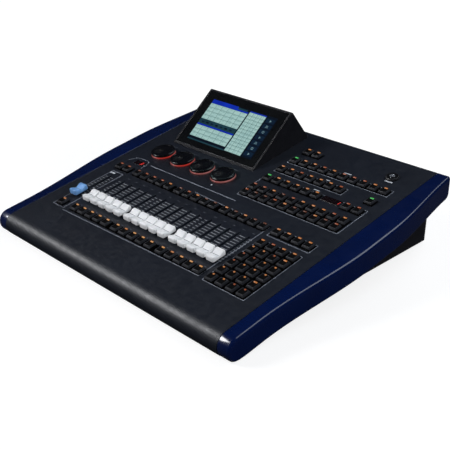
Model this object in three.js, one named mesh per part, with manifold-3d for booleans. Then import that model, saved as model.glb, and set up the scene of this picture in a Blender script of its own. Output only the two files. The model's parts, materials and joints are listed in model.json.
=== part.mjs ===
// Lighting control desk: a sloped steel deck between two bowed side cheeks, with a screen pod,
// sixteen faders, four encoder wheels and thirteen groups of keys.
// Units are millimetres. +X is to the operator's right, +Y to the rear, +Z up.
// The origin is on the ground under the middle of the desk. Inside the object group, y is
// measured from the front of the nose.

import * as THREE from 'three';
import Module from 'manifold-3d';
import { mergeVertices } from 'three/addons/utils/BufferGeometryUtils.js';

const wasm = await Module();
wasm.setup();

// ---- Driving dimensions -------------------------------------------------------------------

const SLOPE = THREE.MathUtils.degToRad(9.6);   // the deck rises to the rear
const DECK_Y = 65;                             // a point on the deck surface: deck depth 0
const DECK_Z = 42;
const DECK_REAR = 400;                         // deck depth of its rear edge
const SHEET = 2;                               // steel sheet thickness
const HALF_INNER = 234.4;                      // half width between the cheeks
const GAP = 0.3;                               // clearance between neighbouring parts
const FOOT_HEIGHT = 2;

const NOSE_RADIUS = 18;                        // front bullnose of the deck panel
const NOSE_STEPS = 16;
const LIP_REAR_Y = 29;                         // the nose ends in a lip under the desk
const REAR_FLANGE = 9;

const TRAY_FRONT_Y = 29.5;
const TRAY_REAR_Y = 444;

const CHEEK_HEIGHT = 36;                       // measured down from the deck surface
const CHEEK_THICK = 21;                        // at the ends
const CHEEK_BOW = 15.7;                        // extra thickness over the widest part
const CHEEK_SWELL = [-10, 185];                // deck depths between which it widens
const CHEEK_TAPER = [240, 415];                // and between which it narrows again
const CHEEK_REAR_Y = 463;
const CHEEK_WALL = 4;

const KEY_PITCH = 19.05;
const KEY_SIZE = 15;                           // cap width at the deck
const KEY_TOP_SIZE = 13.2;
const KEY_TOP = 5;                             // cap height over the deck
const KEY_COLUMN_RIGHT = 202.3;                // right-hand key column
const KEYPAD_ROW = 13.5;                       // deck depth of the keypad's front row
const FLASH_ROW = 15.5;                        // deck depth of the keys in front of the faders
const WINDOW_MARGIN = 1;                       // deck window round a group of caps

const FADER_RIGHT = 118.9;                     // right-hand fader
const FADER_GROUP_GAP = 24.2;                  // between the groups of five
const FADER_REST_DEPTH = 47.6;                  // cap centre at the bottom of its travel
const FADER_TRAVEL = 60;
const SLOT_WIDTH = 2.6;
const SLOT_LENGTH = FADER_TRAVEL + 12;
const MASTER_FADER_X = -192;
const PAGE_KEYS_X = -203;                      // left one of the pair behind the master fader
const CAP_LENGTH = 25;
const CAP_WIDTH = 16;
const MASTER_CAP_WIDTH = 16.8;
const CAP_UNDERSIDE = 4.5;                     // heights of a cap over the deck
const CAP_TOP = 12;
const CAP_WAIST = 8.2;                         // height of the finger hollow across its middle
const SELECT_ROW = 141;                        // deck depth of the keys behind the faders

const WHEEL_FIRST_X = -175.5;
const WHEEL_PITCH = 47.4;
const WHEEL_DEPTH = 212.5;
const WHEEL_RADIUS = 20.4;
const WHEEL_STEM = 3;                          // radius of the shaft under a wheel
const WHEEL_UNDERSIDE = 2.9;
const WHEEL_TOP = 7;
const WHEEL_DISH = 1.1;                        // depth of the dished top
const WHEEL_RIM = 2.6;                         // width of the rim round the dish
const DIMPLE = { x: -5.5, y: -5, radius: 9, lift: 6.2 };
const RING_INNER = 19.2;                       // lit ring under the edge of a wheel
const RING_OUTER = 20.9;
const RING_TOP = 2.5;
const WHEEL_STEPS = 28;                        // facets of the turned parts of a wheel

const POD_LEFT = -193.1;
const POD_RIGHT = -5.6;
const POD_FRONT_DEPTH = 250.2;
const POD_FACE_LENGTH = 119.3;
const POD_FACE_TILT = THREE.MathUtils.degToRad(39.86);
const POD_REAR_Y = 446;
const POD_FRONT_WALL = 4.6;
const POD_WALL = 2.5;
// Margins of the screen's glass in the pod's face, how far it is sunk, and the play round it.
const GLASS = { side: 3, front: 5, top: 4, thick: 2, sunk: 0.1, play: 0.2 };

// ---- Solids: three.js shapes, with manifold-3d for joins and cuts --------------------------

function toSolid(geometry) {
  const bare = geometry.clone();
  bare.deleteAttribute('normal');
  bare.deleteAttribute('uv');
  const merged = mergeVertices(bare, 1e-4);
  return new wasm.Manifold(new wasm.Mesh({
    numProp: 3,
    vertProperties: new Float32Array(merged.attributes.position.array),
    triVerts: new Uint32Array(merged.index.array),
  }));
}

function toGeometry(solid) {
  const mesh = solid.getMesh();
  const geometry = new THREE.BufferGeometry();
  geometry.setAttribute('position', new THREE.BufferAttribute(mesh.vertProperties, 3));
  geometry.setIndex(new THREE.BufferAttribute(mesh.triVerts, 1));
  const faceted = geometry.toNonIndexed();
  faceted.computeVertexNormals();
  return faceted;
}

function join(...geometries) {
  return toGeometry(geometries.map(toSolid).reduce((a, b) => a.add(b)));
}

function cut(base, ...tools) {
  return toGeometry(tools.map(toSolid).reduce((a, b) => a.subtract(b), toSolid(base)));
}

function common(a, b) {
  return toGeometry(toSolid(a).intersect(toSolid(b)));
}

function box(x0, x1, y0, y1, z0, z1) {
  const geometry = new THREE.BoxGeometry(x1 - x0, y1 - y0, z1 - z0);
  return geometry.translate((x0 + x1) / 2, (y0 + y1) / 2, (z0 + z1) / 2);
}

// A box given by its centre in plan, its size in plan and its height range.
function block(x, y, width, length, z0, z1) {
  return box(x - width / 2, x + width / 2, y - length / 2, y + length / 2, z0, z1);
}

// A side profile of [y, z] points, extruded along X.
function extrudeX(profile, x0, x1) {
  const shape = new THREE.Shape(profile.map(([y, z]) => new THREE.Vector2(y, z)));
  const geometry = new THREE.ExtrudeGeometry(shape, { depth: x1 - x0, bevelEnabled: false });
  geometry.rotateX(Math.PI / 2);
  geometry.rotateZ(Math.PI / 2);
  return geometry.translate(x0, 0, 0);
}

// A plan outline of [x, y] points, extruded upwards.
function extrudeUp(outline, z0, z1) {
  const shape = new THREE.Shape(outline.map(([x, y]) => new THREE.Vector2(x, y)));
  const geometry = new THREE.ExtrudeGeometry(shape, { depth: z1 - z0, bevelEnabled: false });
  return geometry.translate(0, 0, z0);
}

// A turned piece about an upright axis, from a closed profile of [radius, z] points.
function turned(profile, steps, x = 0, y = 0) {
  const points = profile.map(([r, z]) => new THREE.Vector2(r, z));
  const geometry = new THREE.LatheGeometry(points, steps);
  return geometry.rotateX(Math.PI / 2).translate(x, y, 0);
}

function rod(radius, z0, z1, x = 0, y = 0, steps = 24) {
  return turned([[0, z0], [radius, z0], [radius, z1], [0, z1]], steps, x, y);
}

// The same rod lying along Y, for the sockets of the rear wall.
function rodY(radius, y0, y1, x, z, steps = 24) {
  return rod(radius, y0, y1, 0, 0, steps).rotateX(-Math.PI / 2).translate(x, 0, z);
}

function arc(cy, cz, radius, fromDeg, toDeg, steps) {
  const points = [];
  for (let i = 0; i <= steps; i += 1) {
    const a = THREE.MathUtils.degToRad(fromDeg + (toDeg - fromDeg) * i / steps);
    points.push([cy + radius * Math.cos(a), cz + radius * Math.sin(a)]);
  }
  return points;
}

// ---- The deck plane ------------------------------------------------------------------------

// World [y, z] of the point at a deck depth and a height over the deck surface.
function deckPoint(depth, height = 0) {
  return [
    DECK_Y + depth * Math.cos(SLOPE) - height * Math.sin(SLOPE),
    DECK_Z + depth * Math.sin(SLOPE) + height * Math.cos(SLOPE),
  ];
}

// World z of the surface that lies a vertical drop under the deck surface.
function deckZ(y, drop = 0) {
  return DECK_Z + (y - DECK_Y) * Math.tan(SLOPE) - drop;
}

const deckMatrix = new THREE.Matrix4()
  .makeRotationX(SLOPE)
  .setPosition(0, DECK_Y, DECK_Z);

function onDeck(geometry) {
  return geometry.clone().applyMatrix4(deckMatrix);
}

const object = new THREE.Group();
const deckGroup = new THREE.Group();           // holds all that is square to the deck
deckGroup.position.set(0, DECK_Y, DECK_Z);
deckGroup.rotation.x = SLOPE;
const podGroup = new THREE.Group();            // holds all that is square to the pod's face
podGroup.position.set(0, ...deckPoint(POD_FRONT_DEPTH));
podGroup.rotation.x = POD_FACE_TILT;
object.add(deckGroup, podGroup);
object.position.y = -CHEEK_REAR_Y / 2;

const finishes = {
  deck: { color: 0x23262d, roughness: 0.55, metalness: 0.3 },
  blackSteel: { color: 0x121214, roughness: 0.6, metalness: 0.3 },
  navy: { color: 0x04103c, roughness: 0.18, metalness: 0.0 },
  pod: { color: 0x101013, roughness: 0.5, metalness: 0.1 },
  glass: { color: 0x06070a, roughness: 0.06, metalness: 0.0 },
  board: { color: 0x0f3d24, roughness: 0.6, metalness: 0.0 },
  steel: { color: 0xa8acb0, roughness: 0.35, metalness: 0.9 },
  chrome: { color: 0xd8dadd, roughness: 0.12, metalness: 1.0 },
  key: { color: 0x2b2c30, roughness: 0.55, metalness: 0.0 },
  white: { color: 0xf2f3f5, roughness: 0.4, metalness: 0.0 },
  blue: { color: 0x6ba4ee, roughness: 0.4, metalness: 0.0 },
  wheel: { color: 0x08080a, roughness: 0.15, metalness: 0.0 },
  light: { color: 0xff6a5c, roughness: 0.3, metalness: 0.0 },
  display: { color: 0x140304, roughness: 0.1, metalness: 0.0 },
  rubber: { color: 0x0c0c0d, roughness: 0.9, metalness: 0.0 },
  socket: { color: 0x18181a, roughness: 0.45, metalness: 0.1 },
  cable: { color: 0x9a9c9e, roughness: 0.6, metalness: 0.0 },
  panel: { color: 0x8d9196, roughness: 0.4, metalness: 0.8 },
};

function addPiece(parent, name, geometry, finish) {
  const mesh = new THREE.Mesh(geometry, new THREE.MeshStandardMaterial(finishes[finish]));
  mesh.name = name;
  parent.add(mesh);
}

// ---- Where the keys and faders are ----------------------------------------------------------

// Key columns are numbered from 0 at the right.
const columnX = (column) => KEY_COLUMN_RIGHT - column * KEY_PITCH;

function keyGrid(firstColumn, count, rows) {
  const keys = [];
  for (const depth of rows) {
    for (let i = 0; i < count; i += 1) keys.push([columnX(firstColumn - i), depth]);
  }
  return keys;
}

// Fader 1 is at the left; they stand in three groups of five.
function faderX(number) {
  const fromRight = 15 - number;
  const groupsPassed = Math.floor(fromRight / 5);
  return FADER_RIGHT - fromRight * KEY_PITCH - groupsPassed * (FADER_GROUP_GAP - KEY_PITCH);
}

const faderNumbers = Array.from({ length: 15 }, (_, i) => i + 1);
const keypadRows = Array.from({ length: 6 }, (_, i) => KEYPAD_ROW + i * KEY_PITCH);
const UPPER_ROW = 196.4;                       // front row of the upper key block
const UPPER_STEP = 32;                         // spacing of its open rows
const TRIO_DEPTH = UPPER_ROW + KEY_PITCH + UPPER_STEP;

const keyGroups = {
  flash_keys: faderNumbers.map((n) => [faderX(n), FLASH_ROW]),
  master_flash_key: [[MASTER_FADER_X, FLASH_ROW]],
  select_keys: faderNumbers.map((n) => [faderX(n), SELECT_ROW]),
  page_keys: [[PAGE_KEYS_X, SELECT_ROW], [PAGE_KEYS_X + KEY_PITCH, SELECT_ROW]],
  keypad_keys: keyGrid(3, 4, keypadRows),
  function_keys: keyGrid(3, 4, [SELECT_ROW]),
  preset_keys: keyGrid(9, 10, [UPPER_ROW, UPPER_ROW + KEY_PITCH]),
  group_keys: keyGrid(9, 6, [TRIO_DEPTH]),
  step_keys: keyGrid(1, 2, [TRIO_DEPTH]),
  palette_keys: keyGrid(9, 7, [TRIO_DEPTH + UPPER_STEP]),
  blackout_key: keyGrid(0, 1, [TRIO_DEPTH + UPPER_STEP - 2]),
  attribute_keys: keyGrid(9, 10, [TRIO_DEPTH + 2 * UPPER_STEP]),
  menu_keys: keyGrid(9, 2, [TRIO_DEPTH + 3 * UPPER_STEP]),
};

// Deck-plane rectangle round a group of keys, grown by a margin.
function groupBounds(keys, margin) {
  const xs = keys.map((key) => key[0]);
  const ys = keys.map((key) => key[1]);
  const grow = KEY_SIZE / 2 + margin;
  return [Math.min(...xs) - grow, Math.max(...xs) + grow, Math.min(...ys) - grow, Math.max(...ys) + grow];
}

const wheelXs = [0, 1, 2, 3].map((i) => WHEEL_FIRST_X + i * WHEEL_PITCH);
const faderXs = [MASTER_FADER_X, ...faderNumbers.map(faderX)];

const PLAYBACK_DISPLAY = { x: 153.9, depth: 250.3, width: 33, length: 13 };
const PAGE_DISPLAY = { x: -183.3, depth: 167.2, width: 24, length: 11 };
const KEY_LOCK = { x: 187.4, depth: 352, radius: 7.7, bore: 4.7 };
const RIBBON_SLOT = { x: -100, depth: 318, width: 46, length: 34 };

// ---- Deck panel and tray ----------------------------------------------------------------------

const noseY = NOSE_RADIUS;
const noseZ = deckZ(noseY) - NOSE_RADIUS / Math.cos(SLOPE);
const SLOPE_DEG = THREE.MathUtils.radToDeg(SLOPE);

// Arc of the nose between the deck surface and a level plane at height z.
function noseArc(radius, z) {
  const below = THREE.MathUtils.radToDeg(Math.asin((noseZ - z) / radius));
  return arc(noseY, noseZ, radius, 90 + SLOPE_DEG, 180 + below, NOSE_STEPS);
}

function deckPanel() {
  const [rearY, rearZ] = deckPoint(DECK_REAR);
  const bottom = FOOT_HEIGHT;
  const outer = [
    [rearY, rearZ - REAR_FLANGE],
    [rearY, rearZ],
    ...noseArc(NOSE_RADIUS, bottom),
    [LIP_REAR_Y, bottom],
  ];
  const inner = [
    [LIP_REAR_Y, bottom + SHEET],
    ...noseArc(NOSE_RADIUS - SHEET, bottom + SHEET).reverse(),
    [rearY - SHEET, deckZ(rearY - SHEET, SHEET / Math.cos(SLOPE))],
    [rearY - SHEET, rearZ - REAR_FLANGE],
  ];
  const sheet = extrudeX([...outer, ...inner], -HALF_INNER, HALF_INNER);
  const low = -3 * SHEET;
  const high = SHEET;
  const windows = Object.values(keyGroups).map((keys) => {
    const [x0, x1, y0, y1] = groupBounds(keys, WINDOW_MARGIN);
    return box(x0, x1, y0, y1, low, high);
  });
  const slotCentre = FADER_REST_DEPTH + FADER_TRAVEL / 2;
  const slots = faderXs.map((x) => block(x, slotCentre, SLOT_WIDTH, SLOT_LENGTH, low, high));
  const holeRadius = RING_OUTER + GAP;
  const wheelHoles = wheelXs.map((x) => rod(holeRadius, low, high, x, WHEEL_DEPTH, WHEEL_STEPS));
  const displayHoles = [PLAYBACK_DISPLAY, PAGE_DISPLAY].map((d) => (
    block(d.x, d.depth, d.width + 2 * GAP, d.length + 2 * GAP, low, high)));
  const lockHole = rod(KEY_LOCK.radius + GAP, low, high, KEY_LOCK.x, KEY_LOCK.depth);
  const ribbon = RIBBON_SLOT;
  const ribbonHole = block(ribbon.x, ribbon.depth, ribbon.width, ribbon.length, low, high);
  const holes = [...windows, ...slots, ...wheelHoles, ...displayHoles, lockHole, ribbonHole];
  return cut(sheet, ...holes.map(onDeck));
}

// Openings of the rear wall, by centre x, centre z, width and height.
const REAR_INLET = { x: -178, z: 40, width: 27, height: 48 };
const REAR_DMX = { x: -60, z: 42, width: 132, height: 34 };
const REAR_DATA = { x: 92, z: 38, width: 112, height: 20 };
const REAR_LAMP = { x: 196, z: 42, width: 26, height: 26 };
const VENTS = { firstX: 120, count: 12, pitch: 8, width: 4, z0: 70, z1: 90 };

// A box that passes right through the rear wall.
function throughRear(x0, x1, z0, z1) {
  return box(x0, x1, TRAY_REAR_Y - 3 * SHEET, TRAY_REAR_Y + SHEET, z0, z1);
}

function rearOpening(port) {
  const w = port.width / 2;
  const h = port.height / 2;
  return throughRear(port.x - w, port.x + w, port.z - h, port.z + h);
}

function baseTray() {
  const floorZ = FOOT_HEIGHT;
  const underDeck = SHEET / Math.cos(SLOPE) + GAP;
  const sideProfile = [
    [TRAY_FRONT_Y, floorZ],
    [TRAY_REAR_Y, floorZ],
    [TRAY_REAR_Y, deckZ(TRAY_REAR_Y, underDeck)],
    [TRAY_FRONT_Y, deckZ(TRAY_FRONT_Y, underDeck)],
  ];
  const solid = extrudeX(sideProfile, -HALF_INNER, HALF_INNER);
  const hollow = box(
    -HALF_INNER + SHEET, HALF_INNER - SHEET, TRAY_FRONT_Y - 1, TRAY_REAR_Y - SHEET,
    floorZ + SHEET, DECK_Z + DECK_REAR,
  );
  const ports = [REAR_INLET, REAR_DMX, REAR_DATA, REAR_LAMP].map(rearOpening);
  const vents = [];
  for (let i = 0; i < VENTS.count; i += 1) {
    const x = VENTS.firstX + VENTS.pitch * i;
    vents.push(throughRear(x, x + VENTS.width, VENTS.z0, VENTS.z1));
  }
  return cut(solid, hollow, ...ports, ...vents);
}

// ---- Cheeks --------------------------------------------------------------------------------

function cheekThickness(depth) {
  const widened = THREE.MathUtils.smoothstep(depth, ...CHEEK_SWELL);
  const narrowed = THREE.MathUtils.smoothstep(depth, ...CHEEK_TAPER);
  return CHEEK_THICK + CHEEK_BOW * widened * (1 - narrowed);
}

// Side profile: a straight rail under the deck surface with a round nose, cut flat at the bottom.
function cheekProfile(inset) {
  const drop = CHEEK_HEIGHT - inset;
  const radius = (drop - inset) * Math.cos(SLOPE) / 2;
  const cy = noseY;
  const cz = deckZ(cy, (drop + inset) / 2);
  const rearY = CHEEK_REAR_Y - inset;
  const corner = 5;
  return [
    [rearY, deckZ(rearY, inset)],
    ...arc(cy, cz, radius, 90 + SLOPE_DEG, 270 + SLOPE_DEG, NOSE_STEPS),
    [rearY - corner, deckZ(rearY - corner, drop)],
    [rearY - corner * 0.3, deckZ(rearY - corner, drop - corner * 0.3)],
    [rearY, deckZ(rearY, drop - corner)],
  ];
}

function cheek(side) {
  const inner = HALF_INNER + GAP;
  const steps = 28;
  const outline = [[side * inner, -5], [side * inner, CHEEK_REAR_Y + 5]];
  for (let i = steps; i >= 0; i -= 1) {
    const y = -5 + (CHEEK_REAR_Y + 10) * i / steps;
    outline.push([side * (inner + cheekThickness((y - DECK_Y) / Math.cos(SLOPE))), y]);
  }
  if (side > 0) outline.reverse();
  const farX = inner + CHEEK_THICK + CHEEK_BOW + 5;
  const sideBar = (profile, x0, x1) => extrudeX(profile, Math.min(x0, x1), Math.max(x0, x1));
  const bar = sideBar(cheekProfile(0), side * (inner - 1), side * farX);
  const body = common(extrudeUp(outline, -10, 200), bar);
  const pocketDepth = CHEEK_THICK - CHEEK_WALL;
  const pocket = sideBar(cheekProfile(CHEEK_WALL), side * (inner - 1), side * (inner + pocketDepth));
  const ground = box(-2 * farX, 2 * farX, -20, 200, -20, FOOT_HEIGHT - 0.5);
  return cut(body, pocket, ground);
}

// ---- Screen pod -----------------------------------------------------------------------------

function podShell() {
  const [frontY, frontZ] = deckPoint(POD_FRONT_DEPTH);
  const along = (s, n) => [
    frontY + s * Math.cos(POD_FACE_TILT) - n * Math.sin(POD_FACE_TILT),
    frontZ + s * Math.sin(POD_FACE_TILT) + n * Math.cos(POD_FACE_TILT),
  ];
  const rear = [POD_REAR_Y, deckZ(POD_REAR_Y, -GAP)];
  const ridge = along(POD_FACE_LENGTH, 0);
  const back = new THREE.Vector2(rear[0] - ridge[0], rear[1] - ridge[1]).normalize();
  const ridgeRound = 3;
  const outer = [
    [frontY, frontZ + GAP],
    rear,
    [ridge[0] + back.x * ridgeRound, ridge[1] + back.y * ridgeRound],
    along(POD_FACE_LENGTH - 0.8, -0.4),
    along(POD_FACE_LENGTH - ridgeRound, 0),
    along(1, 0),
  ];
  const normal = new THREE.Vector2(-back.y, back.x);
  const backWall = (t) => [
    ridge[0] - normal.x * POD_WALL + back.x * t,
    ridge[1] - normal.y * POD_WALL + back.y * t,
  ];
  const backLength = Math.hypot(rear[0] - ridge[0], rear[1] - ridge[1]);
  const inner = [
    along(-20, -POD_FRONT_WALL),
    backWall(backLength + 20),
    backWall(6),
    along(POD_FACE_LENGTH - 5, -POD_FRONT_WALL),
  ];
  const body = extrudeX(outer, POD_LEFT, POD_RIGHT);
  const hollow = extrudeX(inner, POD_LEFT + POD_WALL, POD_RIGHT - POD_WALL);
  const faceMatrix = new THREE.Matrix4().makeRotationX(POD_FACE_TILT).setPosition(0, frontY, frontZ);
  const { side, front, top, thick, sunk, play } = GLASS;
  const glassSeat = box(
    POD_LEFT + side - play, POD_RIGHT - side + play, front - play, POD_FACE_LENGTH - top + play,
    -sunk - thick - play, 5);
  const window = box(POD_LEFT + 16, POD_RIGHT - 10, 14, POD_FACE_LENGTH - 12, -8, 0);
  return cut(body, hollow, glassSeat.applyMatrix4(faceMatrix), window.applyMatrix4(faceMatrix));
}

function screenGlass() {
  const { side, front, top, thick, sunk } = GLASS;
  return box(
    POD_LEFT + side, POD_RIGHT - side, front, POD_FACE_LENGTH - top, -sunk - thick, -sunk);
}

function lcdPanel() {
  return box(POD_LEFT + 14, POD_RIGHT - 8, 18, POD_FACE_LENGTH - 10, -9, -POD_FRONT_WALL - GAP);
}

// ---- Keys, faders and wheels, in deck axes -------------------------------------------------

function keyCap(x, y, webTop) {
  const skirt = block(x, y, KEY_SIZE, KEY_SIZE, webTop - 1, 2);
  const halfDiagonal = Math.SQRT1_2;
  const crown = new THREE.CylinderGeometry(
    KEY_TOP_SIZE * halfDiagonal, KEY_SIZE * halfDiagonal, KEY_TOP - 2, 4, 1);
  crown.rotateY(Math.PI / 4);
  crown.rotateX(Math.PI / 2);
  crown.translate(x, y, (KEY_TOP + 2) / 2);
  return join(skirt, crown);
}

// A group of caps moulded on one web, which hangs under the deck sheet.
function keyMat(keys) {
  const webTop = -SHEET - 1;
  const webBottom = webTop - 1.5;
  const [x0, x1, y0, y1] = groupBounds(keys, 0.7);
  const grown = 1.6;
  const web = box(x0 - grown, x1 + grown, y0 - grown, y1 + grown, webBottom, webTop);
  return join(web, ...keys.map(([x, y]) => keyCap(x, y, webTop)));
}

function faderCap(width) {
  const half = CAP_LENGTH / 2;
  const scoop = [];
  const steps = 8;
  const rim = half - 2.4;
  for (let i = 0; i <= steps; i += 1) {
    const y = rim - 2 * rim * i / steps;
    scoop.push([y, CAP_TOP - (CAP_TOP - CAP_WAIST) * Math.cos(y / rim * Math.PI / 2) ** 2]);
  }
  const shoulder = CAP_TOP - 2.2;
  const profile = [
    [-half + 0.7, CAP_UNDERSIDE],
    [half - 0.7, CAP_UNDERSIDE],
    [half, CAP_UNDERSIDE + 1],
    [half - 0.3, shoulder],
    [half - 1.2, CAP_TOP - 0.5],
    ...scoop,
    [-half + 1.2, CAP_TOP - 0.5],
    [-half + 0.3, shoulder],
    [-half, CAP_UNDERSIDE + 1],
  ];
  const cap = extrudeX(profile, -width / 2, width / 2);
  const stem = block(0, 0, 1.2, 8, -10, CAP_UNDERSIDE + 1);
  return join(cap, stem);
}

// A wheel has a dished top with a raised rim, and a hollow for one finger tip.
function encoderWheel() {
  const round = 1.2;
  const edge = arc(WHEEL_RADIUS - round, WHEEL_TOP - round, round, 0, 90, 3);
  const floor = WHEEL_TOP - WHEEL_DISH;
  const dishEdge = WHEEL_RADIUS - WHEEL_RIM;
  const body = turned([
    [0, -12],
    [WHEEL_STEM, -12],
    [WHEEL_STEM, WHEEL_UNDERSIDE],
    [WHEEL_RADIUS - 0.6, WHEEL_UNDERSIDE],
    [WHEEL_RADIUS, WHEEL_UNDERSIDE + 0.6],
    ...edge,
    [dishEdge + 0.6, WHEEL_TOP - 0.3],
    [dishEdge - 1, floor + 0.15],
    [dishEdge - 3, floor],
    [0, floor],
  ], WHEEL_STEPS);
  const dimple = new THREE.SphereGeometry(DIMPLE.radius, 14, 8);
  dimple.translate(DIMPLE.x, DIMPLE.y, WHEEL_TOP + DIMPLE.lift);
  return cut(body, dimple);
}

// ---- Boards and parts inside the desk ------------------------------------------------------

const BOARD = 1.5;                             // thickness of a circuit board
const BURIED = 0.5;                            // how far a part on a board sinks into it
const FADER_BOARD = { left: -212, margin: 11, front: -1, rear: 152, top: -12.6 };
const TRACK = { width: 9, length: 88, groove: 3.6, grooveLength: 76, floor: -11.4 };

function faderBoard() {
  const { left, front, rear, top } = FADER_BOARD;
  const right = faderX(15) + FADER_BOARD.margin;
  const board = box(left, right, front, rear, top - BOARD, top);
  const centre = FADER_REST_DEPTH + FADER_TRAVEL / 2;
  const tracks = faderXs.map((x) => (
    block(x, centre, TRACK.width, TRACK.length, top - BURIED, -SHEET - GAP)));
  const grooves = faderXs.map((x) => (
    block(x, centre, TRACK.groove, TRACK.grooveLength, TRACK.floor, SHEET)));
  const switchRails = [FLASH_ROW, SELECT_ROW].map((y) => (
    box(left + 6, right - 6, y - 4, y + 4, top - BURIED, -8)));
  return cut(join(board, ...tracks, ...switchRails), ...grooves);
}

const SWITCH_BOARD = { margin: 12, front: -1, step: 184, rear: 362, top: -10, railTop: -7.4 };

function switchBoard() {
  const { margin, front, step, rear, top, railTop } = SWITCH_BOARD;
  const right = KEY_COLUMN_RIGHT + margin;
  const lower = box(columnX(3) - margin, right, front, step + 2, top - BOARD, top);
  const upper = box(columnX(9) - margin, right, step, rear, top - BOARD, top);
  const lockClearance = block(KEY_LOCK.x, KEY_LOCK.depth, 24, 26, top - 5, top + 5);
  const rails = [
    ...keypadRows.map((y) => [columnX(3), columnX(0), y]),
    [columnX(3), columnX(0), SELECT_ROW],
    [columnX(9), columnX(0), UPPER_ROW],
    [columnX(9), columnX(0), UPPER_ROW + KEY_PITCH],
    [columnX(9), columnX(4), TRIO_DEPTH],
    [columnX(1), columnX(0), TRIO_DEPTH],
    [columnX(9), columnX(0), TRIO_DEPTH + UPPER_STEP],
    [columnX(9), columnX(0), TRIO_DEPTH + 2 * UPPER_STEP],
    [columnX(9), columnX(8), TRIO_DEPTH + 3 * UPPER_STEP],
  ].map(([x0, x1, y]) => box(x0 - 3, x1 + 3, y - 3, y + 3, top - BURIED, railTop));
  return cut(join(lower, upper, ...rails), lockClearance);
}

function lightGuide() {
  const margin = 24;
  const foot = -4.5;
  const web = box(
    wheelXs[0] - margin, wheelXs[3] + margin, WHEEL_DEPTH - margin, WHEEL_DEPTH + margin,
    foot - 1, foot + 1);
  const rings = wheelXs.map((x) => turned([
    [RING_INNER, foot],
    [RING_OUTER, foot],
    [RING_OUTER, RING_TOP - 0.6],
    [RING_OUTER - 0.6, RING_TOP],
    [RING_INNER, RING_TOP],
    [RING_INNER, foot],
  ], WHEEL_STEPS, x, WHEEL_DEPTH));
  const holes = wheelXs.map((x) => rod(5, -8, 0, x, WHEEL_DEPTH, 16));
  return cut(join(web, ...rings), ...holes);
}

const ENCODER = { size: 14, foot: -14.5, top: -6.2, bore: WHEEL_STEM + GAP, boreFloor: -12.6 };

function encoderBoard() {
  const { size, foot, top, bore, boreFloor } = ENCODER;
  const sideways = 22;
  const lengthways = 16;
  const board = box(
    wheelXs[0] - sideways, wheelXs[3] + sideways, WHEEL_DEPTH - lengthways, WHEEL_DEPTH + lengthways,
    foot - BOARD, foot);
  const bodies = wheelXs.map((x) => block(x, WHEEL_DEPTH, size, size, foot - BURIED, top));
  const bores = wheelXs.map((x) => rod(bore, boreFloor, 0, x, WHEEL_DEPTH));
  return cut(join(board, ...bodies), ...bores);
}

function display(spec) {
  return join(
    block(spec.x, spec.depth, spec.width, spec.length, -7, 0.6),
    block(spec.x, spec.depth, spec.width, spec.length + 4, -7, -SHEET - 0.8),
  );
}

function keyLockBarrel() {
  const r = KEY_LOCK.radius;
  const bore = KEY_LOCK.bore;
  const flange = r + 2.8;
  const barrel = turned([
    [bore, -20], [r, -20], [r, GAP], [flange, GAP],
    [flange, 2.2], [flange - 1, 3.4], [bore, 3.4], [bore, -20],
  ], 32);
  return barrel.translate(KEY_LOCK.x, KEY_LOCK.depth, 0);
}

function keyLockPlug() {
  const plug = rod(KEY_LOCK.bore - GAP, -18, 4.2);
  return cut(plug, block(0, 0, 1.2, 5.6, 1, 6));
}

const MAIN_BOARD = { x0: -70, x1: 210, y0: 250, y1: 420, z: 12, inset: 8 };

function mainBoard() {
  const { x0, x1, y0, y1, inset } = MAIN_BOARD;
  const boardZ = MAIN_BOARD.z;
  const board = box(x0, x1, y0, y1, boardZ, boardZ + BOARD);
  const floorTop = FOOT_HEIGHT + SHEET;
  const corners = [x0 + inset, x1 - inset].flatMap((x) => [[x, y0 + inset], [x, y1 - inset]]);
  const legs = corners.map(([x, y]) => rod(3.5, floorTop, boardZ + BURIED, x, y, 12));
  const heatSink = box(20, 70, 300, 350, boardZ + 1, boardZ + 16);
  const fins = [];
  for (let i = 0; i < 6; i += 1) {
    fins.push(box(24 + 8 * i, 28 + 8 * i, 295, 355, boardZ + 6, boardZ + 20));
  }
  const memory = box(90, 160, 330, 338, boardZ + 1, boardZ + 12);
  return join(cut(join(board, heatSink), ...fins), memory, ...legs);
}

const SUPPLY = { x0: -222, x1: -120, y0: 270, y1: 400, height: 44, wall: 1.5 };
const SUPPLY_SLOTS = { count: 7, pitch: 13, width: 6, inset: 10, end: 20 };

function powerSupply() {
  const { x0, x1, y0, y1, height, wall } = SUPPLY;
  const { count, pitch, width, inset, end } = SUPPLY_SLOTS;
  const floorTop = FOOT_HEIGHT + SHEET;
  const lid = floorTop + height;
  const can = box(x0, x1, y0, y1, floorTop, lid);
  const inside = box(x0 + wall, x1 - wall, y0 + wall, y1 - wall, floorTop + wall, lid - wall);
  const slots = [];
  for (let i = 0; i < count; i += 1) {
    const x = x0 + inset + pitch * i;
    slots.push(box(x, x + width, y0 + end, y1 - end, lid - 2 * wall, lid + wall));
  }
  return cut(can, inside, ...slots);
}

// Flat ribbon from the back of the screen down through the deck to the main board.
function lcdRibbon() {
  const thick = 0.8;
  const top = deckPoint(POD_FRONT_DEPTH + 62, 12);
  const path = [
    [top[0], top[1] + 8],
    [top[0], 60],
    [top[0] + 6, 40],
    [top[0] + 6, 14.2],
  ];
  const backwards = path.map(([y, z]) => [y + thick, z]).reverse();
  return extrudeX([...path, ...backwards], -112, -90);
}

// ---- Rear connectors -------------------------------------------------------------------------

const REAR_IN = TRAY_REAR_Y - SHEET;           // inner face of the rear wall
const FLANGE = 1.6;

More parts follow.
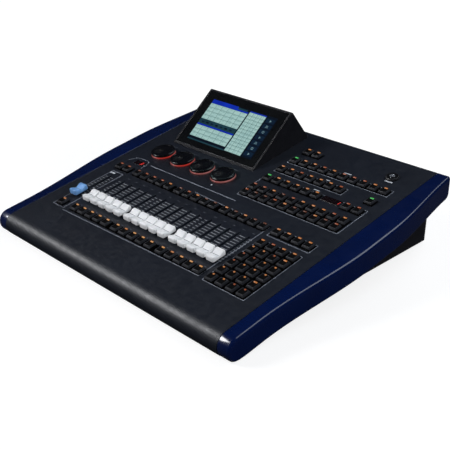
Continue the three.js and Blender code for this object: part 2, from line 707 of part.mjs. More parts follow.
function flangedBody(port, depth, margin) {
  const { x, z, width, height } = port;
  const w = width / 2 - GAP;
  const h = height / 2 - GAP;
  return join(
    box(x - w, x + w, REAR_IN - depth, TRAY_REAR_Y + FLANGE + 0.1, z - h, z + h),
    box(
      x - w - margin, x + w + margin, TRAY_REAR_Y + 0.1, TRAY_REAR_Y + FLANGE + 0.1,
      z - h - margin, z + h + margin),
  );
}

function powerInlet() {
  const body = flangedBody(REAR_INLET, 30, 3);
  const { x, z } = REAR_INLET;
  const socket = box(x - 12, x + 12, TRAY_REAR_Y - 14, TRAY_REAR_Y + 10, z - 22, z - 5);
  const pins = [[-7, -12], [7, -12], [0, -16]].map(([dx, dz]) => (
    box(x + dx - 1, x + dx + 1, TRAY_REAR_Y - 15, TRAY_REAR_Y - 2, z + dz - 2, z + dz + 2)));
  const rockerWell = box(x - 10, x + 10, TRAY_REAR_Y - 12, TRAY_REAR_Y + 10, z + 2, z + 20);
  return join(cut(body, socket, rockerWell), ...pins);
}

const ROCKER = { x: REAR_INLET.x, y: TRAY_REAR_Y - 2, z: REAR_INLET.z + 11, tilt: 8 };

function powerRocker() {
  const face = [
    [-5, -6.4], [1.6, -7.4], [3.6, -7.4], [2.2, 0], [3.6, 7.4], [1.6, 7.4], [-5, 6.4],
  ];
  return extrudeX(face, -8.6, 8.6);
}

function dmxSockets() {
  const body = flangedBody(REAR_DMX, 16, 2);
  const { x, z } = REAR_DMX;
  const wells = [];
  const inserts = [];
  for (let i = 0; i < 4; i += 1) {
    const cx = x - 49.5 + 33 * i;
    wells.push(rodY(10.5, REAR_IN - 10, TRAY_REAR_Y + 10, cx, z, 20));
    inserts.push(rodY(8.6, REAR_IN - 12, TRAY_REAR_Y - 0.5, cx, z, 20));
  }
  return join(cut(body, ...wells), ...inserts);
}

function dataPorts() {
  const body = flangedBody(REAR_DATA, 16, 2);
  const { x, z } = REAR_DATA;
  const wells = [[-44, 16, 13], [-22, 16, 13], [0, 14, 8], [20, 14, 8], [42, 18, 6]].map(
    ([dx, w, h]) => box(
      x + dx - w / 2, x + dx + w / 2, TRAY_REAR_Y - 12, TRAY_REAR_Y + 10, z - h / 2, z + h / 2));
  return cut(body, ...wells);
}

function lampSocket() {
  const body = flangedBody(REAR_LAMP, 14, 2);
  const well = rodY(9, REAR_IN - 8, TRAY_REAR_Y + 10, REAR_LAMP.x, REAR_LAMP.z);
  const insert = rodY(7.2, REAR_IN - 10, TRAY_REAR_Y - 0.5, REAR_LAMP.x, REAR_LAMP.z);
  return join(cut(body, well), insert);
}

// ---- Assembly ---------------------------------------------------------------------------------

addPiece(object, 'base_tray', baseTray(), 'blackSteel');
addPiece(object, 'deck_panel', deckPanel(), 'deck');
addPiece(object, 'left_cheek', cheek(-1), 'navy');
addPiece(object, 'right_cheek', cheek(1), 'navy');
addPiece(object, 'pod_shell', podShell(), 'pod');
addPiece(podGroup, 'screen_glass', screenGlass(), 'glass');
addPiece(podGroup, 'lcd_panel', lcdPanel(), 'panel');
addPiece(object, 'lcd_ribbon', lcdRibbon(), 'cable');

addPiece(object, 'main_board', mainBoard(), 'board');
addPiece(object, 'power_supply', powerSupply(), 'steel');
addPiece(deckGroup, 'fader_board', faderBoard(), 'board');
addPiece(deckGroup, 'switch_board', switchBoard(), 'board');
addPiece(deckGroup, 'encoder_board', encoderBoard(), 'board');
addPiece(deckGroup, 'light_guide', lightGuide(), 'light');
addPiece(deckGroup, 'playback_display', display(PLAYBACK_DISPLAY), 'display');
addPiece(deckGroup, 'page_display', display(PAGE_DISPLAY), 'display');

for (const [name, keys] of Object.entries(keyGroups)) {
  addPiece(deckGroup, name, keyMat(keys), 'key');
}

function addFader(name, x, width, finish) {
  const holder = new THREE.Group();
  holder.position.set(x, FADER_REST_DEPTH, 0);
  deckGroup.add(holder);
  addPiece(holder, name, faderCap(width), finish);
}

addFader('master_fader_cap', MASTER_FADER_X, MASTER_CAP_WIDTH, 'blue');
for (const number of faderNumbers) {
  const label = String(number).padStart(2, '0');
  addFader(`fader_cap_${label}`, faderX(number), CAP_WIDTH, 'white');
}

wheelXs.forEach((x, i) => {
  const holder = new THREE.Group();
  holder.position.set(x, WHEEL_DEPTH, 0);
  deckGroup.add(holder);
  addPiece(holder, `encoder_wheel_${i + 1}`, encoderWheel(), 'wheel');
});

addPiece(deckGroup, 'key_lock_barrel', keyLockBarrel(), 'socket');
const plugHolder = new THREE.Group();
plugHolder.position.set(KEY_LOCK.x, KEY_LOCK.depth, 0);
deckGroup.add(plugHolder);
addPiece(plugHolder, 'key_lock_plug', keyLockPlug(), 'chrome');

addPiece(object, 'power_inlet', powerInlet(), 'socket');
const rockerHolder = new THREE.Group();
rockerHolder.position.set(ROCKER.x, ROCKER.y, ROCKER.z);
rockerHolder.rotation.x = THREE.MathUtils.degToRad(ROCKER.tilt);   // shown switched on
object.add(rockerHolder);
addPiece(rockerHolder, 'power_rocker', powerRocker(), 'socket');
addPiece(object, 'dmx_sockets', dmxSockets(), 'socket');
addPiece(object, 'data_ports', dataPorts(), 'steel');
addPiece(object, 'lamp_socket', lampSocket(), 'socket');

const FOOT_RADIUS = 11;
const feet = {
  foot_front_left: [-205, 55],
  foot_front_right: [205, 55],
  foot_rear_left: [-205, 420],
  foot_rear_right: [205, 420],
};
for (const [name, [x, y]] of Object.entries(feet)) {
  addPiece(object, name, rod(FOOT_RADIUS, 0, FOOT_HEIGHT, x, y), 'rubber');
}

export default object;
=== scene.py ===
"""Looks of the lighting control desk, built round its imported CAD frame.

Pieces are modelled in local millimetres, in one of three sets of axes: the deck surface, the
screen pod's face, or the frame itself. Each builder turns them into the frame's metres.
"""

import json
import random
from math import atan2, cos, hypot, pi, radians, sin, sqrt, tan

import bmesh
import bpy
from mathutils import Matrix, Vector

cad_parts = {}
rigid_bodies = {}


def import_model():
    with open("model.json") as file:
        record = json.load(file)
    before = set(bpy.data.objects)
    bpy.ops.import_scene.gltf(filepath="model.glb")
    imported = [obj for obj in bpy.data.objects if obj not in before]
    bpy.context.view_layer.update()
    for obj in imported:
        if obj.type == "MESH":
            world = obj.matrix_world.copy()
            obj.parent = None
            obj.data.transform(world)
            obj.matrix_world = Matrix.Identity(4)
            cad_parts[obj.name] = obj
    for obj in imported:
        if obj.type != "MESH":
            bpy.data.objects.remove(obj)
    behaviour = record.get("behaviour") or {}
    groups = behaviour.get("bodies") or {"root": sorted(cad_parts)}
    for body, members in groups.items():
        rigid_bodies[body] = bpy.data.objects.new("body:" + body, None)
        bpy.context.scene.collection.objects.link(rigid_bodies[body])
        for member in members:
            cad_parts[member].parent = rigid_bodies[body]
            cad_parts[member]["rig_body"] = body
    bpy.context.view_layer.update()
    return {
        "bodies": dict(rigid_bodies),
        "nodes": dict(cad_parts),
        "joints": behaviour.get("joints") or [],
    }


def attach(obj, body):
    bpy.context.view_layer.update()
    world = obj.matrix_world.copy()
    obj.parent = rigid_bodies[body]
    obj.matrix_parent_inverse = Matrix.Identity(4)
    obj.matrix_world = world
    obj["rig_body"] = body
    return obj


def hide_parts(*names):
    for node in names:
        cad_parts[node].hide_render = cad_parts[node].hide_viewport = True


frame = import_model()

# ---- Axes, and the places that the frame gives ----

MM = 0.001
WHEEL_DEPTH = 212.5  # deck depth of the encoder wheels
KEY_PITCH = 19.05
KEY_TO_NODE_EDGE = 9.8  # from the edge of a key node to the centre of its first key

joints = {joint["name"]: joint for joint in frame["joints"]}
ACROSS = Vector((1, 0, 0))
UP_DECK = Vector(joints["fader_01_slide"]["axis"])


def axes(origin, up):
    """Matrix from local millimetres (across, up, outwards) to the frame's metres."""
    turn = Matrix((ACROSS, up, ACROSS.cross(up))).transposed().to_4x4()
    return Matrix.Translation(origin) @ turn @ Matrix.Scale(MM, 4)


def points_of(node):
    return [vertex.co for vertex in frame["nodes"][node].data.vertices]


def local_box(node, matrix):
    """Lowest corner, highest corner and middle of a CAD node in local millimetres."""
    inverse = matrix.inverted()
    points = [inverse @ point for point in points_of(node)]
    low = Vector([min(p[i] for p in points) for i in range(3)])
    high = Vector([max(p[i] for p in points) for i in range(3)])
    return low, high, (low + high) / 2


wheel_place = Vector(joints["encoder_1_turn"]["pos_m"])
deck_start = Vector((0, wheel_place.y, wheel_place.z)) - UP_DECK * WHEEL_DEPTH * MM
DECK = axes(deck_start, UP_DECK)
PLAIN = Matrix.Scale(MM, 4)

glass_front = min(points_of("screen_glass"), key=lambda p: p.y)
glass_top = max(points_of("screen_glass"), key=lambda p: p.z)
up_face = Vector((0, glass_top.y - glass_front.y, glass_top.z - glass_front.z)).normalized()
FACE = axes(Vector((0, glass_front.y, glass_front.z)), up_face)  # starts at the glass's front edge


def centre_in(node):
    return local_box(node, DECK)[2]


def spaced(first, last):
    count = round((last - first) / KEY_PITCH)
    return [first + i * KEY_PITCH for i in range(count + 1)]


FADERS = [f"fader_cap_{i:02d}" for i in range(1, 16)]
fader_xs = [centre_in(name).x for name in FADERS]
master_x = centre_in("master_fader_cap").x
fader_rest = centre_in(FADERS[0]).y
fader_travel = joints["fader_01_slide"]["range_m"][1] / MM
WHEELS = [f"encoder_wheel_{i}" for i in range(1, 5)]
wheel_xs = [centre_in(name).x for name in WHEELS]
KEY_NODES = [body[len("press_"):] for body in frame["bodies"] if body.startswith("press_")]


def key_centres(node):
    """Key centres of a key node, row by row from the front, each row from the left."""
    low, high, _ = local_box(node, DECK)
    ys = spaced(low.y + KEY_TO_NODE_EDGE, high.y - KEY_TO_NODE_EDGE)
    if node in ("flash_keys", "select_keys"):
        return [(x, y) for y in ys for x in fader_xs]
    return [(x, y) for y in ys for x in spaced(low.x + KEY_TO_NODE_EDGE, high.x - KEY_TO_NODE_EDGE)]


# ---- Materials ----

def linear(colour):
    """Linear colour of a screen colour given from 0 to 255; one with alpha is linear already."""
    if len(colour) == 4:
        return colour
    shares = [value / 255 for value in colour]
    return (*(s / 12.92 if s <= 0.04045 else ((s + 0.055) / 1.055) ** 2.4 for s in shares), 1.0)


class Finish:
    """A Principled material, and short ways to give it grain, mottling and wear."""

    def __init__(self, name, colour, roughness=0.5, metallic=0.0, specular=0.5, coat=0.0):
        self.material = bpy.data.materials.new(name)
        self.material.use_nodes = True
        self.tree = self.material.node_tree
        self.surface = self.tree.nodes["Principled BSDF"]
        self.colour = linear(colour)
        self.normal = None
        self.place = self.add("ShaderNodeTexCoord").outputs["Object"]
        self.set("Base Color", self.colour)
        self.set("Roughness", roughness)
        self.set("Metallic", metallic)
        self.set("Specular IOR Level", specular)
        self.set("Coat Weight", coat)
        self.set("Coat Roughness", 0.06)

    def add(self, kind, inputs=None, **settings):
        made = self.tree.nodes.new(kind)
        for key, value in settings.items():
            setattr(made, key, value)
        for key, value in (inputs or {}).items():
            self.feed(made.inputs[key], value)
        return made

    def feed(self, socket, value):
        if isinstance(value, bpy.types.NodeSocket):
            self.tree.links.new(value, socket)
        else:
            socket.default_value = value

    def set(self, name, value):
        self.feed(self.surface.inputs[name], value)
        return self

    def noise(self, size, detail=3, stretch=(1, 1, 1)):
        """Smooth noise with blobs about size millimetres across."""
        scale = [s / (size * MM) for s in stretch]
        place = self.add("ShaderNodeMapping", {"Vector": self.place, "Scale": scale}).outputs[0]
        made = self.add("ShaderNodeTexNoise", {"Vector": place, "Scale": 1.0, "Detail": detail})
        return made.outputs["Fac"]

    def span(self, fac, low, high, start=0.3, end=0.7):
        made = self.add("ShaderNodeMapRange", {
            "Value": fac, "From Min": start, "From Max": end, "To Min": low, "To Max": high})
        return made.outputs["Result"]

    def blend(self, fac, first, second):
        inputs = {"Factor": fac, 6: first, 7: second}
        return self.add("ShaderNodeMix", inputs, data_type="RGBA").outputs[2]

    def mottle(self, other, size, start=0.3, end=0.7, **options):
        """Blends another colour in, in patches."""
        fac = self.span(self.noise(size, **options), 0, 1, start, end)
        self.colour = self.blend(fac, self.colour, linear(other))
        return self.set("Base Color", self.colour)

    def rough(self, low, high, size, **options):
        return self.set("Roughness", self.span(self.noise(size, **options), low, high))

    def bump(self, height, size, **options):
        """Adds relief of a height in millimetres."""
        inputs = {"Height": self.noise(size, **options), "Strength": 1.0, "Distance": height * MM}
        if self.normal is not None:
            inputs["Normal"] = self.normal
        self.normal = self.add("ShaderNodeBump", inputs).outputs["Normal"]
        return self.set("Normal", self.normal)

    def glow(self, colour, strength):
        self.set("Emission Color", colour)
        return self.set("Emission Strength", strength)


def powder_coat(name, colour, lighter, roughness, specular):
    """Baked powder on steel: fine orange peel, cloudy tone, and tiny sparkles."""
    made = Finish(name, colour, roughness, specular=specular)
    made.mottle(lighter, 70, detail=4)
    made.mottle([c * 1.9 for c in linear(lighter)[:3]] + [1], 0.7, 0.6, 0.78)
    made.rough(roughness - 0.05, roughness + 0.07, 9)
    return made.bump(0.024, 1.3, detail=2).bump(0.03, 5)


def moulded(name, colour, other, roughness=0.5, specular=0.4, grain=0.012):
    """Moulded plastic with a fine spark-eroded texture and finger marks."""
    made = Finish(name, colour, roughness, specular=specular)
    made.mottle(other, 11, detail=4)
    made.rough(roughness - 0.08, roughness + 0.1, 4)
    return made.bump(grain, 0.6, detail=2)


def metal(name, colour, other, roughness=0.3, stretch=(1, 14, 14)):
    """Metal with a drawn grain along X."""
    made = Finish(name, colour, roughness, metallic=1.0)
    made.mottle(other, 3, stretch=stretch)
    made.rough(roughness - 0.08, roughness + 0.14, 1.5, stretch=stretch)
    return made.bump(0.004, 0.8, stretch=stretch)


def lacquer(name, colour, other, orange_peel=0.02):
    """Deep gloss paint under a clear coat, with orange peel and faint dust."""
    made = Finish(name, colour, 0.3, specular=0.3, coat=1.0)
    made.mottle(other, 90, detail=2)
    made.mottle([min(1, c * 1.6) for c in linear(other)[:3]] + [1], 0.9, 0.64, 0.8)
    made.rough(0.22, 0.36, 18)
    made.bump(orange_peel, 6, detail=1)
    made.set("Coat Roughness", made.span(made.noise(25), 0.05, 0.12))
    return made.set("Coat Normal", made.normal)


def lamp(name, colour, strength):
    """A lit diffusing lens, brighter in its middle patches."""
    made = Finish(name, (60, 40, 30), 0.35)
    made.rough(0.3, 0.45, 2).bump(0.01, 0.8)
    core = made.span(made.noise(2.2), 0.75, 1.15)
    level = made.add("ShaderNodeMath", {0: core, 1: strength}, operation="MULTIPLY")
    return made.glow(linear(colour), level.outputs[0])


def screen_ink(name, colour, other):
    """Lit pixels behind smooth glass, over an uneven backlight."""
    made = Finish(name, (0.002, 0.002, 0.003, 1), 0.08)
    made.rough(0.06, 0.1, 30)
    made.bump(0.001, 8)
    cloud = made.span(made.noise(26), 0, 1)
    return made.glow(made.blend(cloud, linear(colour), linear(other)), 1.0)


def rubber_finish(name):
    made = Finish(name, (16, 16, 17), 0.8, specular=0.25)
    made.mottle((32, 31, 30), 6).rough(0.7, 0.92, 2)
    return made.bump(0.04, 0.9)


def board_finish(name):
    """Solder mask over copper: lighter traces run across a green ground."""
    made = Finish(name, (12, 58, 34), 0.4)
    made.mottle((22, 86, 50), 2.5, 0.48, 0.52, detail=0, stretch=(1, 0.2, 1))
    made.mottle((8, 40, 24), 1.6, 0.5, 0.53, detail=0, stretch=(0.2, 1, 1))
    made.rough(0.3, 0.5, 5)
    return made.bump(0.03, 1.6, detail=0, stretch=(1, 0.2, 1))


deck_coat = powder_coat("deck_coat", (16, 20, 29), (20, 25, 35), 0.47, 0.65)
tray_coat = powder_coat("tray_coat", (25, 25, 28), (34, 34, 38), 0.5, 0.35)
tray_edge = powder_coat("tray_edge", (42, 42, 46), (52, 52, 56), 0.45, 0.4)
navy_lacquer = lacquer("navy_lacquer", (1, 16, 57), (1, 20, 67))
pod_plastic = moulded("pod_plastic", (19, 19, 23), (25, 25, 29), 0.5, 0.3)
# The pod's rounded edges take this light grey, a painted highlight of light caught on them.
pod_painted_highlight = moulded("pod_painted_highlight", (112, 108, 108), (130, 126, 124), 0.42, 0.5)
glass_face = Finish("glass_face", (12, 13, 14), 0.08, coat=0.3)
glass_face.mottle((22, 23, 23), 60).rough(0.05, 0.11, 35).bump(0.002, 30)
# The glass's rounded rim is lighter as ground glass, and lighter still as a painted highlight.
glass_rim_and_highlight = Finish("glass_rim_and_highlight", (46, 50, 54), 0.2).mottle((70, 74, 78), 9).rough(0.15, 0.3, 5)
key_top = moulded("key_top", (4, 4, 5), (7, 7, 8), 0.7, 0.1)
# The keys' sloped rims take this lighter grey, a painted sheen of light caught on them.
key_rim_painted_sheen = moulded("key_rim_painted_sheen", (26, 27, 31), (36, 37, 42), 0.5, 0.35)
cap_white = moulded("cap_white", (250, 250, 250), (240, 241, 242), 0.45, 0.4, 0.006)
cap_blue = moulded("cap_blue", (126, 176, 232), (112, 164, 224), 0.45, 0.4, 0.006)
cap_line = moulded("cap_line", (120, 124, 130), (96, 100, 106), 0.5, 0.3)
wheel_gloss = lacquer("wheel_gloss", (5, 5, 6), (9, 9, 10), 0.006)
wheel_skirt = moulded("wheel_skirt", (14, 14, 15), (22, 22, 24), 0.4, 0.5)
print_ink = moulded("print_ink", (122, 127, 138), (148, 153, 164), 0.6, 0.3, 0.02)
label_ink = moulded("label_ink", (186, 190, 196), (214, 217, 222), 0.55, 0.3, 0.02)
dark_ink = moulded("dark_ink", (74, 78, 88), (92, 96, 104), 0.6, 0.3, 0.02)
scale_ink = moulded("scale_ink", (150, 154, 160), (166, 170, 176), 0.6, 0.3, 0.02)
display_glass = Finish("display_glass", (12, 3, 4), 0.12, coat=0.4)
display_glass.mottle((20, 5, 6), 8).rough(0.08, 0.18, 6).bump(0.002, 9)
segment_off = Finish("segment_off", (13, 4, 5), 0.4).mottle((20, 6, 7), 3).rough(0.35, 0.5, 2)
bright_steel = metal("bright_steel", (170, 173, 178), (138, 141, 146))
chrome = metal("chrome", (222, 224, 228), (196, 198, 204), 0.16, (6, 6, 6))
brass = metal("brass", (206, 168, 92), (178, 140, 70), 0.26)
zinc = metal("zinc", (120, 124, 130), (96, 99, 104), 0.36)
black_screw = moulded("black_screw", (24, 24, 26), (44, 44, 46), 0.35, 0.6, 0.006)
socket_plastic = moulded("socket_plastic", (22, 22, 24), (30, 30, 32), 0.48, 0.4)
socket_edge = moulded("socket_edge", (46, 46, 50), (60, 60, 64), 0.4, 0.5)
lock_black = moulded("lock_black", (6, 6, 7), (12, 12, 13), 0.35, 0.5, 0.006)
plug_steel = metal("plug_steel", (214, 216, 220), (188, 190, 196), 0.46, (3, 3, 3))
foot_rubber = rubber_finish("foot_rubber")
circuit_board = board_finish("circuit_board")
ribbon_plastic = moulded("ribbon_plastic", (150, 152, 154), (120, 122, 126), 0.6, 0.3)
amber_lamp = lamp("amber_lamp", (220, 156, 92), 0.84)
orange_lamp = lamp("orange_lamp", (200, 124, 62), 0.8)
ember_lamp = lamp("ember_lamp", (172, 84, 44), 0.66)
dim_lamp = lamp("dim_lamp", (112, 54, 30), 0.55)
green_lamp = lamp("green_lamp", (48, 186, 88), 0.9)
red_lamp = lamp("red_lamp", (255, 62, 60), 1.1)
screen_inks = [screen_ink(f"screen_{name}", *colours) for name, *colours in (
    ("dark", (8, 18, 30), (6, 14, 26)),
    ("gap", (30, 62, 72), (20, 48, 58)),
    ("grid", (78, 112, 110), (68, 100, 100)),
    ("cell", (164, 198, 192), (150, 186, 184)),
    ("text", (122, 158, 156), (108, 146, 146)),
    ("blue", (16, 48, 176), (10, 36, 150)),
    ("button", (14, 34, 54), (10, 26, 44)),
    ("icon", (120, 150, 156), (96, 128, 138)),
)]
DARK, GAP, GRID, CELL, TEXT, BLUE, BUTTON, ICON = range(len(screen_inks))


# ---- Mesh building ----

def rounded_loop(x, y, width, length, radius, z, steps=4):
    """Points round a rectangle with round corners, anticlockwise."""
    loop = []
    for corner, (side, end) in enumerate(((1, 1), (-1, 1), (-1, -1), (1, -1))):
        for i in range(steps + 1):
            angle = radians(90 * corner + 90 * i / steps)
            loop.append(Vector((
                x + side * (width / 2 - radius) + radius * cos(angle),
                y + end * (length / 2 - radius) + radius * sin(angle),
                z,
            )))
    return loop


def quarter(steps, first=0):
    """Angles that divide a quarter turn into steps."""
    return [radians(90 * i / steps) for i in range(first, steps + 1)]


def ring_loop(radius, z, steps, x=0, y=0):
    turns = [2 * pi * i / steps for i in range(steps)]
    return [Vector((x + radius * cos(turn), y + radius * sin(turn), z)) for turn in turns]


def rounded_path(points, radius, closed=False, steps=5):
    """A flat path with an arc of the radius at each corner."""
    path = []
    count = len(points)
    for i, (x, y) in enumerate(points):
        here = Vector((x, y))
        if not closed and i in (0, count - 1):
            path.append(here)
            continue
        before = (Vector(points[i - 1]) - here).normalized()
        after = (Vector(points[(i + 1) % count]) - here).normalized()
        half = before.angle(after) / 2
        reach = radius / tan(half)
        middle = here + (before + after).normalized() * (radius / sin(half))
        start = here + before * reach - middle
        end = here + after * reach - middle
        for k in range(steps + 1):
            path.append(middle + start.slerp(end, k / steps))
    return path


class Build:
    """Collects shapes in its matrix's units, most in millimetres; piece() makes one object."""

    def __init__(self, matrix=DECK):
        self.matrix = matrix
        self.mesh = bmesh.new()

    def loft(self, loops, finish=0, around=False, at=None, ends=True):
        """A skin over loops of equal count, with end caps, open, or joined end to end."""
        rows = [[self.mesh.verts.new(at @ p if at else p) for p in loop] for loop in loops]
        count = len(rows[0])
        pairs = list(zip(rows, rows[1:]))
        if around:
            pairs.append((rows[-1], rows[0]))
        for low, high in pairs:
            for i in range(count):
                k = (i + 1) % count
                self.face((low[i], low[k], high[k], high[i]), finish)
        if ends and not around:
            self.face(tuple(reversed(rows[0])), finish)
            self.face(tuple(rows[-1]), finish)
        return rows

    def face(self, corners, finish):
        made = self.mesh.faces.new(corners)
        made.material_index = finish
        made.smooth = True

    def pad(self, x, y, width, length, z0, z1, radius=0.4, edge=0.1, finish=0, at=None, steps=3):
        """A block with round corners and a softened top edge."""
        loops = [
            rounded_loop(x, y, width, length, radius, z0, steps),
            rounded_loop(x, y, width, length, radius, z1 - edge, steps),
            rounded_loop(
                x, y, width - 2 * edge, length - 2 * edge, max(0.02, radius - edge), z1, steps),
        ]
        self.loft(loops, finish, at=at)

    def lathe(self, profile, steps=48, x=0, y=0, finish=0, around=False, at=None):
        """A turned shape from (radius, z) points."""
        self.loft([ring_loop(r, z, steps, x, y) for r, z in profile], finish, around, at)

    def ribbon(self, path, width, z0, z1, closed=False, finish=0):
        """A flat strip of the width along a path of 2D points."""
        loops = []
        count = len(path)
        for i, here in enumerate(path):
            before = path[i - 1] if closed or i > 0 else here
            after = path[(i + 1) % count] if closed or i < count - 1 else here
            along = (Vector(after) - Vector(before)).normalized()
            side = Vector((-along.y, along.x)) * (width / 2)
            a = Vector(here) + side
            b = Vector(here) - side
            loops.append([Vector((*a, z0)), Vector((*b, z0)), Vector((*b, z1)), Vector((*a, z1))])
        self.loft(loops, finish, around=closed)

    def piece(self, name, body, slot, *finishes, sharp=40, bevel=0, replaces=()):
        bmesh.ops.recalc_face_normals(self.mesh, faces=self.mesh.faces)
        self.mesh.transform(self.matrix)
        return add_piece(name, self.mesh, body, finishes, sharp, bevel, replaces)


def add_object(name, data):
    made = bpy.data.objects.new(name, data)
    bpy.context.scene.collection.objects.link(made)
    return made


def add_piece(name, built, body, finishes, sharp, bevel, replaces, bevel_finish=None):
    mesh = bpy.data.meshes.new(name)
    built.to_mesh(mesh)
    built.free()
    for finish in finishes:
        mesh.materials.append(finish.material)
    mesh.set_sharp_from_angle(angle=radians(sharp))
    made = add_object(name, mesh)
    if bevel:
        round_edges = made.modifiers.new("round_edges", "BEVEL")
        round_edges.width = bevel * MM
        round_edges.segments = 2
        round_edges.limit_method = "ANGLE"
        round_edges.angle_limit = radians(32)
        round_edges.harden_normals = True
        if bevel_finish is not None:
            round_edges.material = bevel_finish
    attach(made, body)
    if replaces:
        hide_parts(*replaces)
    return made


def refine(node, slot, *finishes, bevel=0.3):
    """A copy of a CAD node with merged faces and rounded edges, which stands for it.

    With a second finish, the rounded edges take it.
    """
    built = bmesh.new()
    built.from_mesh(frame["nodes"][node].data)
    bmesh.ops.remove_doubles(built, verts=built.verts, dist=3e-6)
    bmesh.ops.dissolve_limit(built, angle_limit=radians(0.8), verts=built.verts, edges=built.edges)
    for face in built.faces:
        face.material_index = 0
        face.smooth = True
    body = frame["nodes"][node]["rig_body"]
    edges = 1 if len(finishes) > 1 else None
    return add_piece(f"{node}_skin", built, body, finishes, 32, bevel, (node,), edges)


# ---- Deck, tray, cheeks ----

def deck_and_tray():
    refine("deck_panel", "deck", deck_coat)
    refine("base_tray", "black_steel", tray_coat, tray_edge, bevel=0.4)


CHEEK_HEIGHT = 36  # measured straight down
CHEEK_ENDS = 21  # thickness at the ends
CHEEK_SWELL = (-10, 185)  # deck depths between which it widens
CHEEK_TAPER = (240, 415)  # and between which it narrows again
CHEEK_FILLET = 4.5  # outer edges
CHEEK_EASE = 0.8  # inner edges
CHEEK_CORNERS = (5, 9)  # radii of the rear corners, upper and lower
LEAST_CORNER = 0.4
NOSE_STEPS = 14  # of each quarter of the nose
LONG_STEPS = 56  # along each long edge
TURN_STEPS = 6  # of each corner, fillet, and row across the flat sides


def smooth(value, start, end):
    """Rises smoothly from 0 at start to 1 at end."""
    t = max(0, min(1, (value - start) / (end - start)))
    return t * t * (3 - 2 * t)


def cheek(node, side):
    """A rail with a round nose, bowed outwards in plan, with soft edges all round."""
    low, high, _ = local_box(node, PLAIN)
    bow = (high.x - low.x) - CHEEK_ENDS
    inner = min(abs(low.x), abs(high.x))
    cos_slope = UP_DECK.y
    radius = CHEEK_HEIGHT * cos_slope / 2
    # The nose's centre lies a radius behind the front and a radius under the deck surface.
    nose = (low.y + radius - DECK.translation.y / MM - radius * UP_DECK.z) / cos_slope

    def outer_x(depth):
        bowed = smooth(depth, *CHEEK_SWELL) * (1 - smooth(depth, *CHEEK_TAPER))
        return inner + CHEEK_ENDS + bow * bowed

    def rear_at(height):
        return (high.y - DECK.translation.y / MM + height * UP_DECK.z) / cos_slope

    def half_outline(sign, inset, corner):
        """From the nose's tip along one long edge to the middle of the rear, as seen sideways."""
        r = radius - inset
        points = []
        for angle in quarter(NOSE_STEPS):
            points.append(Vector((nose - r * cos(angle), -radius + sign * r * sin(angle))))
        edge = -radius + sign * r
        last = rear_at(edge) - inset - corner
        for i in range(1, LONG_STEPS + 1):
            points.append(Vector((nose + (last - nose) * i / LONG_STEPS, edge)))
        for angle in quarter(TURN_STEPS, 1):
            height = edge - sign * corner * (1 - cos(angle))
            points.append(Vector((rear_at(height) - inset - corner * (1 - sin(angle)), height)))
        points.append(Vector((rear_at(-radius) - inset, -radius)))
        return points

    def outline(inset):
        upper, lower = (max(LEAST_CORNER, corner - inset) for corner in CHEEK_CORNERS)
        return half_outline(1, inset, upper), half_outline(-1, inset, lower)

    def placed(point, x):
        spot = DECK @ Vector((side * x, point.x, point.y))
        spot.z = max(spot.z, low.z * MM)
        return spot

    def loop(inset, x_of):
        top, bottom = outline(inset)
        whole = top + list(reversed(bottom[1:-1]))
        return [placed(p, x_of(p.x)) for p in whole]

    layers = []
    for angle in quarter(TURN_STEPS):
        ease = CHEEK_EASE * (1 - cos(angle))
        layers.append((CHEEK_EASE * (1 - sin(angle)), lambda depth, e=ease: inner + e))
    for angle in quarter(TURN_STEPS):
        back = CHEEK_FILLET * (1 - sin(angle))
        layers.append((CHEEK_FILLET * (1 - cos(angle)), lambda depth, b=back: outer_x(depth) - b))

    build = Build(Matrix())  # placed() gives metres
    rows = build.loft([loop(*layer) for layer in layers], ends=False)
    count = len(rows[0])
    half = (count + 2) // 2

    # The flat sides: columns of points between each pair of top and bottom points.
    for row, inset, x_of in ((rows[0], *layers[0]), (rows[-1], *layers[-1])):
        top, bottom = outline(inset)
        columns = [[row[0]] * (TURN_STEPS + 1)]
        for i in range(1, half - 1):
            column = [row[i]]
            for k in range(1, TURN_STEPS):
                p = top[i].lerp(bottom[i], k / TURN_STEPS)
                column.append(build.mesh.verts.new(placed(p, x_of(p.x))))
            columns.append(column + [row[count - i]])
        columns.append([row[half - 1]] * (TURN_STEPS + 1))
        for left, right in zip(columns, columns[1:]):
            for k in range(TURN_STEPS):
                corners = (right[k + 1], right[k], left[k], left[k + 1])
                build.face(tuple(dict.fromkeys(corners)), 0)  # an end column is one point
    build.piece(f"{node}_skin", "desk", "navy", navy_lacquer, sharp=50, replaces=(node,))


# ---- Printed lines, labels and scales ----

INK_LOW, INK_HIGH = -0.2, 0.07
LINE = 1.05
MARGIN = 2.3  # from a group's node to its outline
SCALE_MARKS = 11
SCALE_MARK = (5.6, 1.0)
SCALE_OFFSET = 6.6  # from a slot to the middle of its marks


def around(nodes, left=MARGIN, right=MARGIN, front=MARGIN, rear=MARGIN):
    """Deck rectangle round key nodes: x0, x1, y0, y1."""
    boxes = [local_box(node, DECK) for node in nodes]
    return (
        min(b[0].x for b in boxes) - left,
        max(b[1].x for b in boxes) + right,
        min(b[0].y for b in boxes) - front,
        max(b[1].y for b in boxes) + rear,
    )


